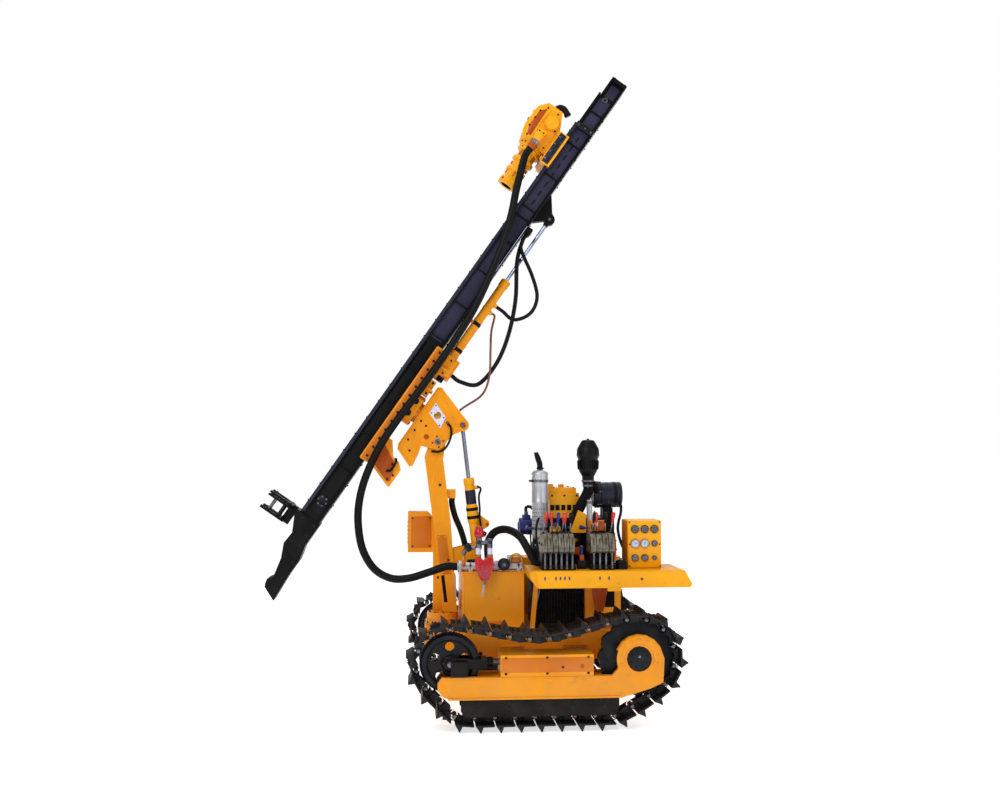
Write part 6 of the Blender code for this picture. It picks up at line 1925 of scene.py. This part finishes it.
def carrier_trim():
    """The saddle's clamps, bolts, wear strips, bearing ring and the swing motor's cover."""
    kit = Kit(MAST)
    for side in (-1, 1):
        way = Vector((0, side, 0))
        face = side * 0.1675
        # Darker orange clamp plates: painted shade.
        kit.use(SHADE_ORANGE).flat(rectangle(0.364, -0.44, 0.426, 0.61), (0, face, 0), 0.004, 0.0015)
        for step in range(13):
            kit.screw((0.3945, face + side * 0.002, -0.405 + 0.0825 * step), way, 0.0085)
        kit.use(ORANGE).bead((0.4335, side * 0.16, -0.444), (0.4335, side * 0.16, 0.614), 0.005)
        for s in (-0.36, -0.16, 0.3, 0.5):
            low = 0.262 if s > 0 else 0.337
            kit.use(ORANGE).flat(rectangle(low, -0.008, 0.357, 0.008), (0, side * 0.136, s), 0.054, 0.002)
            kit.use(ORANGE).box(
                (0.34, side * 0.138 - 0.028, s - 0.03), (0.358, side * 0.138 + 0.028, s + 0.03), 0.003,
            )
        for s in (0.055, 0.165):
            kit.use(DARK_STEEL).turned(
                ((0.0, 0.006), (0.024, 0.006), (0.028, 0.002), (0.028, -0.002), (0.0, -0.002)),
                (0.33, side * 0.1255, s), way, 28,
            )
            kit.use(BLACK).rod((0.33, side * 0.131, s), (0.33, side * 0.1325, s), 0.014, 24)
        # The lower plate in the darkest orange: painted shade.
        kit.use(DARKER_SHADE_ORANGE).flat(
            [(0.176, -0.34), (0.366, -0.236), (0.366, -0.41), (0.15, -0.49), (0.132, -0.47)],
            (0, side * 0.1105, 0), 0.004, 0.0015,
        )
        for a, b in ((0.196, -0.35), (0.348, -0.262), (0.35, -0.396), (0.16, -0.47), (0.14, -0.42)):
            kit.screw((a, side * 0.112, b), way, 0.0075)
        kit.use(ORANGE).flat(rectangle(0.23, 0.46, 0.366, 0.6), (0, side * 0.1105, 0), 0.003, 0.001)
        for s in (0.47, 0.59):
            for h in (0.282, 0.358):
                kit.screw((h, side * 0.1125, s), way, 0.0065)
        kit.use(DARK_STEEL).bolts(
            [(h, side * 0.1205, s) for h in (0.298, 0.36) for s in (0.262, 0.358)], way, 0.0085,
        )
    for a, b in around(16, 0.114):
        kit.screw((0.2742, a, 0.1 + b), BEHIND, 0.0065)
    kit.use(BLACK).tube(
        [(0.196, 0.118, -0.3), (0.18, 0.14, -0.32), (0.176, 0.14, -0.395), (0.2, 0.118, -0.42)], 0.01, 12,
    )
    kit.use(BLACK).box((0.245, 0.096, 0.395), (0.3, 0.12, 0.44), 0.004)
    kit.done("carrier_trim", "mast_carrier", "orange_paint")


def feed_barrel():
    """The feed cylinder's barrel with its ports, stacked bands, and the gland at the upper end."""
    profile = [(0.0, 0.6203), (0.036, 0.6203), (0.04, 0.624), (0.04, 0.65), (0.036, 0.654)]
    for step in range(4):
        s = 0.74 + 0.12 * step
        profile += [(0.036, s), (0.0385, s + 0.003), (0.0385, s + 0.022), (0.036, s + 0.025)]
    profile += [
        (0.036, 1.326), (0.0405, 1.33), (0.041, 1.334), (0.041, 1.384), (0.0385, 1.39), (0.0185, 1.39),
        (0.0185, 1.38),
    ]
    kit = Kit(MAST).use(ORANGE).turned(profile, (COMP_HEIGHT, 0, 0), UP, 36)
    for s in (1.1, 1.17):
        kit.use(YELLOW).rod((0.262, 0, s), (0.236, 0, s), 0.0195, 20, 0.002)
        kit.use(WORN).rod((0.24, 0, s), (0.2355, 0, s), 0.0165, 6, 0.001)
    for s in (0.7, 0.96):
        kit.use(BLACK).band(0.0362, 0.0392, 0.016, 0.014, (COMP_HEIGHT, 0, s), UP, 36)
        # Darker orange bracket: painted shade.
        kit.use(SHADE_ORANGE).box((COMP_HEIGHT + 0.028, -0.03, s - 0.013), (0.357, 0.03, s + 0.013), 0.003)
    for turn in range(8):
        a = math.tau * turn / 8
        kit.screw((COMP_HEIGHT + 0.03 * math.cos(a), 0.03 * math.sin(a), 1.3895), UP, 0.0045, False)
    kit.done("feed_barrel_tube", "mast_carrier", "orange_paint", ("feed_barrel",))


post_trim()
tilt_barrel()
head_trim()
carrier_trim()
feed_barrel()


# Mast trim, feed chain, foot and rod guide
CHAIN_LINK = 0.0495
CHAIN_REACH = 0.052
CHAIN_LOW = -0.9
CHAIN_HIGH = 3.06


def face_at(s):
    """How far out the mast's face lies at a height along it."""
    if s < FACE_STEPS[0][0]:
        return MAST_FACE
    return FACE_STEPS[0][1] if s < FACE_STEPS[1][0] else FACE_STEPS[1][1]


def mast_trim():
    """Web panels in a blue-grey of painted sheen, stiffeners, slide strips, a pale strip of painted
    highlight, bolt rows, slots drawn as dark patches of painted shade, the top cap with its pin, and clamps.
    """
    kit = Kit(MAST)
    runs = (
        # from, to, face of the channel there
        (0.66, 1.86, 0.573),
        (1.88, 2.74, 0.573),
        (2.78, 3.06, 0.553),
        (3.09, 3.2, 0.535),
    )
    for side in (-1, 1):
        way = Vector((0, side, 0))
        y = side * 0.1008
        # Web panels on the upper mast in a blue-grey that is painted sheen; the web below is covered by a
        # black plate.
        for low, high, face in runs:
            kit.use(WEB_SHEEN).flat(rectangle(0.42, low, face - 0.03, high), (0, y, 0), 0.003, 0.001)
        kit.use(BLACK).flat(rectangle(0.43, -1.0, 0.54, 0.6), (0, y, 0), 0.003, 0.001)
        for step in range(13):
            s = -0.92 + 0.32 * step
            if 0.4 < s < 0.55 or s > 3.1:
                continue
            edge = face_at(s + 0.01) - 0.016
            kit.use(BLACK).flat(rectangle(0.408, -0.005, edge, 0.005), (0, side * 0.1115, s), 0.02, 0.001)
        kit.use(NAVY_BLACK).box(
            (0.545, side * 0.1365 - 0.0008, -1.04), (0.571, side * 0.1365 + 0.0008, 2.75), 0.0005,
        )
        for step in range(24):
            s = -0.95 + 0.158 * step
            if s < 2.72:
                kit.screw((0.5735, side * 0.118, s), AHEAD, 0.0062, False)
        for step in range(20):
            s = -0.9 + 0.2 * step
            kit.screw((0.3928, side * 0.118, s), BEHIND, 0.007)
        # Slots drawn as flat black patches, not holes: painted shade for the open slots.
        for s in (2.66, 2.57, 2.48, 2.39, 2.3, 2.21, 2.12, 2.03):
            kit.use(PLASTIC).flat(
                [(0.47, -0.026), (0.484, -0.03), (0.484, 0.02), (0.47, 0.024)], (0, side * 0.103, s), 0.002,
                0.0006,
            )
        # A thin pale strip along the flange edge: painted highlight.
        kit.use(PALE_AND_HIGHLIGHT).flat(rectangle(0.402, 1.2, 0.4065, 1.83), (0, side * 0.1352, 0), 0.0012, 0.0003)
        kit.use(DARK_STEEL).box(
            (0.398, side * 0.136 - 0.003, 2.735), (0.56, side * 0.136 + 0.003, 2.785), 0.001,
        )
        for h in (0.42, 0.478, 0.536):
            kit.use(WORN).bolt((h, side * 0.139, 2.76), way, 0.0065)
        kit.use(WORN).rod(
            (CHAIN_X, side * 0.088, CHAIN_HIGH), (CHAIN_X, side * 0.112, CHAIN_HIGH), 0.022, 28, 0.002,
        )
        kit.screw((CHAIN_X, side * 0.111, CHAIN_HIGH), way, 0.011)
        kit.use(DARK_STEEL).turned(
            ((0.0, 0.014), (0.04, 0.014), (0.046, 0.01), (0.046, 0.0), (0.0, 0.0)),
            (CHAIN_X, side * 0.1, CHAIN_LOW), way, 36,
        )
        for a, b in around(6, 0.036):
            kit.use(WORN).bolt((CHAIN_X + a, side * 0.1135, CHAIN_LOW + b), way, 0.0055)
    kit.use(BLACK).box((0.398, -0.128, 3.2515), (0.53, 0.128, 3.256), 0.001)
    for h in (0.415, 0.512):
        for y in (-0.112, 0.112):
            kit.screw((h, y, MAST_CAP), UP, 0.0085)
    kit.use(WORN).rod((0.43, 0.0, MAST_CAP), (0.43, 0.0, 3.258), 0.02, 28, 0.001)
    kit.use(DARK_STEEL).rod((COMP_HEIGHT, -0.042, ROD_EYE), (COMP_HEIGHT, 0.042, ROD_EYE), 0.02, 28, 0.002)
    for side in (-1, 1):
        kit.use(WORN).bolt((COMP_HEIGHT, side * 0.0405, ROD_EYE), (0, side, 0), 0.01)
    kit.use(BLACK).turned(
        ((0.0152, 0.0), (0.0215, 0.002), (0.0215, 0.013), (0.0152, 0.015)), (COMP_HEIGHT, 0, 1.944), UP, 28,
    )
    kit.use(NAVY_BLACK).box((0.345, 0.018, 1.79), (0.35, 0.112, 1.83), 0.001)
    kit.use(WORN).bolts([(0.347, y, 1.81) for y in (0.036, 0.094)], BEHIND, 0.0055)
    kit.done("mast_trim", "mast", "black_paint")


def feed_chain():
    """Roller chain: two runs and the bends round both wheels, from a link's pitch."""
    run = CHAIN_HIGH - CHAIN_LOW
    length = 2 * run + math.tau * CHAIN_REACH
    count = round(length / CHAIN_LINK)
    kit = Kit(MAST)

    def place(along):
        along %= length
        if along < run:
            return Vector((CHAIN_X + CHAIN_REACH, 0, CHAIN_LOW + along))
        along -= run
        if along < math.pi * CHAIN_REACH:
            turn = along / CHAIN_REACH
            return Vector(
                (CHAIN_X + CHAIN_REACH * math.cos(turn), 0, CHAIN_HIGH + CHAIN_REACH * math.sin(turn))
            )
        along -= math.pi * CHAIN_REACH
        if along < run:
            return Vector((CHAIN_X - CHAIN_REACH, 0, CHAIN_HIGH - along))
        turn = math.pi + (along - run) / CHAIN_REACH
        return Vector((CHAIN_X + CHAIN_REACH * math.cos(turn), 0, CHAIN_LOW + CHAIN_REACH * math.sin(turn)))

    for step in range(count):
        one = place(step * length / count)
        two = place((step + 1) * length / count)
        middle = (one + two) / 2
        way = (two - one).normalized()
        out = way.cross(Vector(LEFT))
        half = (two - one).length / 2
        shape = [
            (-half - 0.006, -0.003), (-half - 0.003, 0.0062), (half + 0.003, 0.0062), (half + 0.006, 0.003),
            (half + 0.006, -0.003), (half + 0.003, -0.0062), (-half - 0.003, -0.0062),
        ]
        gap = 0.0088 if step % 2 else 0.0064
        for side in (-1, 1):
            kit.use(DARK_STEEL).plate(shape, middle + Vector((0, side * gap, 0)), way, out, 0.0022, 0)
        kit.use(WORN).rod(one - Vector((0, 0.0056, 0)), one + Vector((0, 0.0056, 0)), 0.0052, 10)
    kit.done("feed_chain_links", "mast", "track_steel", ("feed_chain",))


def foot_trim():
    """Cheek plates, bolts, a hook pad and the prongs of the rod guide."""
    kit = Kit(MAST)
    for side in (-1, 1):
        face = side * 0.1105
        way = Vector((0, side, 0))
        kit.use(BLACK).flat(
            [(0.398, -1.075), (0.56, -1.075), (0.508, -1.22), (0.512, -1.3), (0.402, -1.3)], (0, face, 0),
            0.005, 0.0015,
        )
        kit.flat(
            [
                (0.376, -1.4), (0.5, -1.38), (0.462, -1.47), (0.43, -1.59), (0.45, -1.65), (0.366, -1.69),
                (0.374, -1.56),
            ],
            (0, face, 0), 0.005, 0.0015,
        )
        for a, b in (
            (0.42, -1.095), (0.53, -1.095), (0.42, -1.19), (0.42, -1.285), (0.495, -1.285), (0.395, -1.42),
            (0.47, -1.415), (0.392, -1.56), (0.388, -1.66),
        ):
            kit.screw((a, face + side * 0.002, b), way, 0.0085)
    for y in (-0.085, -0.043, 0.0, 0.043, 0.085):
        kit.use(BLACK).flat(
            [(0.341, -1.745), (0.47, -1.679), (0.462, -1.7), (0.352, -1.7475)], (0, y, 0), 0.012, 0.001,
        )
    for s, thick in ((-1.2, 0.0101), (-1.0875, 0.0076), (-1.0625, 0.0076)):
        for y in (-0.092, 0.092):
            for h in (0.665, 0.82):
                kit.screw((h, y, s + thick), UP, 0.0065)
    for side in (-1, 1):
        kit.use(BLACK).box(
            (0.65, side * 0.1105 - 0.003, -1.206), (0.85, side * 0.1105 + 0.003, -1.194), 0.001,
        )
        kit.use(DARK_STEEL).rod((0.7, side * 0.088, -1.19), (0.7, side * 0.088, -1.095), 0.012, 20, 0.001)
        kit.use(WORN).rod((0.79, side * 0.088, -1.19), (0.79, side * 0.088, -1.095), 0.008, 16, 0.001)
    kit.done("mast_foot_trim", "mast", "black_paint")


mast_trim()
feed_chain()
foot_trim()


# Drill head: carriage trim, gearbox covers, elbow and spindle
def carriage_trim():
    kit = Kit(MAST)
    for side in (-1, 1):
        way = Vector((0, side, 0))
        face = side * 0.1615
        kit.use(NAVY_BLACK).flat(rectangle(0.556, 2.33, 0.616, 2.61), (0, face, 0), 0.004, 0.0015)
        for s in (2.365, 2.435, 2.505, 2.575):
            kit.use(BLACK).flat(
                rectangle(0.572, -0.022, 0.58, 0.022), (0, face + side * 0.0022, s), 0.0012, 0.0004,
            )
            kit.use(WORN).bolt((0.603, face + side * 0.002, s), way, 0.0075)
        for s in (2.35, 2.59):
            kit.use(ORANGE).box(
                (0.6235, side * 0.14 - 0.016, s - 0.014), (0.64, side * 0.14 + 0.016, s + 0.014), 0.003,
            )
            kit.screw((0.64, side * 0.14, s), AHEAD, 0.0075)
    # Darker orange box at the carriage's foot: painted shade.
    kit.use(DARKER_SHADE_ORANGE).box((0.6235, -0.095, 2.33), (0.64, 0.095, 2.372), 0.003)
    kit.done("carriage_trim", "drill_head", "black_paint")


def gearbox_trim():
    """Facet covers, flange rims, ribs, plugs and the motor's housing on the gearbox."""
    kit = Kit(MAST)
    for side in (-1, 1):
        way = Vector((0, side, 0))
        face = side * 0.1005
        kit.use(YELLOW).plate(
            [
                (0.65, 2.425), (0.85, 2.44), (0.876, 2.525), (0.872, 2.69), (0.824, 2.75), (0.712, 2.75),
                (0.65, 2.616),
            ],
            (0, face, 0), AHEAD, UP, 0.006, 0.002,
        )
        for a, b in (
            (0.664, 2.44), (0.756, 2.447), (0.838, 2.456), (0.864, 2.53), (0.861, 2.61), (0.858, 2.68),
            (0.818, 2.736), (0.722, 2.737), (0.69, 2.67), (0.664, 2.606),
        ):
            kit.screw((a, face + side * 0.003, b), way, 0.0065)
        kit.use(YELLOW).turned(
            ((0.0, 0.052), (0.03, 0.052), (0.038, 0.047), (0.044, 0.04), (0.056, 0.038), (0.06, 0.034),
             (0.06, 0.024),
             (0.056, 0.02), (0.054, 0.0)),
            (0.72, side * 0.098, 2.64), way, 40,
        )
        for a, b in around(6, 0.05):
            kit.screw((0.72 + a, side * 0.135, 2.64 + b), way, 0.0058)
        kit.use(YELLOW).tube(
            [(0.765, side * 0.104, 2.455), (0.8, side * 0.104, 2.56), (0.792, side * 0.104, 2.735)], 0.008,
            10,
        )
        # A darker orange patch near the rear edge: painted shadow.
        kit.use(DARKER_SHADE_ORANGE).flat(
            [(0.806, 2.462), (0.842, 2.466), (0.866, 2.53), (0.864, 2.672), (0.816, 2.732)],
            (0, side * 0.103, 0), 0.003, 0.001,
        )
    for h, y, s, size in (
        (0.8995, 0.0, 2.6, 0.03), (0.8995, 0.055, 2.66, 0.014), (0.8995, -0.055, 2.66, 0.014),
    ):
        kit.use(YELLOW).turned(
            ((0.0, 0.01), (size * 0.8, 0.01), (size, 0.006), (size, -0.006), (0.0, -0.006)),
            (h - 0.0035, y, s), AHEAD, 28,
        )
        kit.screw((h + 0.005, y, s), AHEAD, size * 0.42)
    kit.use(YELLOW).turned(
        (
            (0.088, 2.442), (0.104, 2.444), (0.1085, 2.436), (0.1085, 2.424), (0.105, 2.42), (0.105, 2.4),
            (0.1085, 2.396), (0.1085, 2.384), (0.102, 2.3795), (0.06, 2.3795),
        ),
        (SPINDLE_HEIGHT, 0, 0), UP, 56,
    )
    for a, b in around(12, 1.0, 0.5):
        kit.screw((SPINDLE_HEIGHT + 0.107 * a, 0.107 * b, 2.41), (a, b, 0), 0.0052)
    kit.use(YELLOW).box((0.712, 0.092, 2.462), (0.778, 0.172, 2.538), 0.007)
    kit.use(YELLOW).turned(
        ((0.0, 2.505), (0.036, 2.503), (0.04, 2.497), (0.04, 2.482), (0.0355, 2.477), (0.0355, 2.44)),
        (0.745, 0.155, 0), UP, 32,
    )
    kit.use(WORN).rod((0.745, 0.155, 2.44), (0.745, 0.155, 2.405), 0.0385, 6, 0.002)
    # Darker orange collar: painted shade.
    kit.use(DARKER_SHADE_ORANGE).turned(
        ((0.0345, 2.404), (0.0375, 2.4), (0.0375, 2.364), (0.0345, 2.36), (0.0, 2.36)), (0.745, 0.155, 0),
        UP, 32,
    )
    for a, b in around(4, 0.028, 0.5):
        kit.screw((0.745 + a, 0.171, 2.5 + b), LEFT, 0.0058)
    kit.done("gearbox_trim", "drill_head", "yellow_paint")


def elbow():
    """The swivel elbow with its flange, nuts and the hose tail."""
    path = [
        (0.76, 0.02, 2.7753), (0.76, 0.02, 2.8), (0.746, 0.02, 2.821), (0.72, 0.02, 2.83),
        (0.69, 0.02, 2.822), (0.65, 0.02, 2.8),
    ]
    kit = Kit(MAST).use(PLASTIC).tube(path, 0.0255, 24, 0.008)
    kit.use(BLACK).turned(
        ((0.0, 0.0), (0.04, 0.0), (0.043, 0.003), (0.043, 0.01), (0.04, 0.013), (0.0262, 0.016)),
        (0.76, 0.02, 2.7753), UP, 36,
    )
    for a, b in around(4, 0.0345, 0.5):
        kit.use(WORN).bolt((0.76 + a, 0.02 + b, 2.7885), UP, 0.0048)
    end = Vector(path[-1])
    way = (end - Vector(path[-2])).normalized()
    kit.use(BLACK).rod(end - way * 0.024, end - way * 0.004, 0.03, 6, 0.001)
    kit.use(BLACK).rod(end - way * 0.004, end + way * 0.0005, 0.023, 24)
    kit.done("swivel_elbow_pipe", "drill_head", "black_paint", ("swivel_elbow",))


def spindle():
    """The spindle's chuck: stacked collars with wrench flats, lock screws and an open nose."""
    kit = Kit(MAST).use(YELLOW).turned(
        ((0.05, 2.3797), (0.098, 2.3797), (0.1, 2.377), (0.1, 2.35), (0.097, 2.345), (0.078, 2.344),
         (0.075, 2.34),
         (0.075, 2.29), (0.078, 2.286), (0.09, 2.285), (0.092, 2.282), (0.092, 2.258), (0.09, 2.255),
         (0.07, 2.254),
         (0.066, 2.25), (0.066, 2.19), (0.07, 2.186), (0.082, 2.185), (0.084, 2.182), (0.084, 2.158),
         (0.082, 2.155),
         (0.067, 2.154), (0.064, 2.15), (0.064, 2.108), (0.066, 2.105), (0.078, 2.09), (0.08, 2.086),
         (0.08, 2.034),
         (0.077, 2.03), (0.053, 2.03), (0.05, 2.033), (0.05, 2.09), (0.0, 2.09)),
        (SPINDLE_HEIGHT, 0, 0), UP, 64,
    )
    for step in range(8):
        turn = math.tau * step / 8
        out = Vector((math.cos(turn), math.sin(turn), 0))
        base = Vector((SPINDLE_HEIGHT, 0, 0))
        kit.screw(base + out * 0.0995 + Vector((0, 0, 2.3635)), out, 0.006, False)
        # The darker oranges on the bosses, flats and screws of the chuck are painted shade.
        if step % 2 == 0:
            kit.use(SHADE_ORANGE).rod(
                base + out * 0.063 + Vector((0, 0, 2.22)), base + out * 0.078 + Vector((0, 0, 2.22)),
                0.0155, 24, 0.002,
            )
            kit.use(DARK_STEEL).rod(
                base + out * 0.078 + Vector((0, 0, 2.22)), base + out * 0.0795 + Vector((0, 0, 2.22)),
                0.0075, 6,
            )
            kit.use(SHADE_ORANGE).plate(
                [(0.0645, 2.112), (0.0735, 2.12), (0.0735, 2.15), (0.0645, 2.152)], base, out, UP, 0.016,
                0.001,
            )
        else:
            kit.use(SHADE_ORANGE).plate(
                [(0.0745, 2.292), (0.088, 2.298), (0.088, 2.334), (0.0745, 2.34)], base, out, UP, 0.014,
                0.001,
            )
            kit.use(DARKER_SHADE_ORANGE).rod(
                base + out * 0.0795 + Vector((0, 0, 2.06)), base + out * 0.0812 + Vector((0, 0, 2.06)),
                0.012, 20,
            )
    kit.use(DARK_STEEL).turned(
        ((0.0, 2.0895), (0.0495, 2.0895), (0.0495, 2.033), (0.0478, 2.033), (0.0478, 2.087), (0.0, 2.087)),
        (SPINDLE_HEIGHT, 0, 0), UP, 40,
    )
    kit.done("spindle_chuck", "spindle", "yellow_paint", ("spindle",))


carriage_trim()
gearbox_trim()
elbow()
spindle()
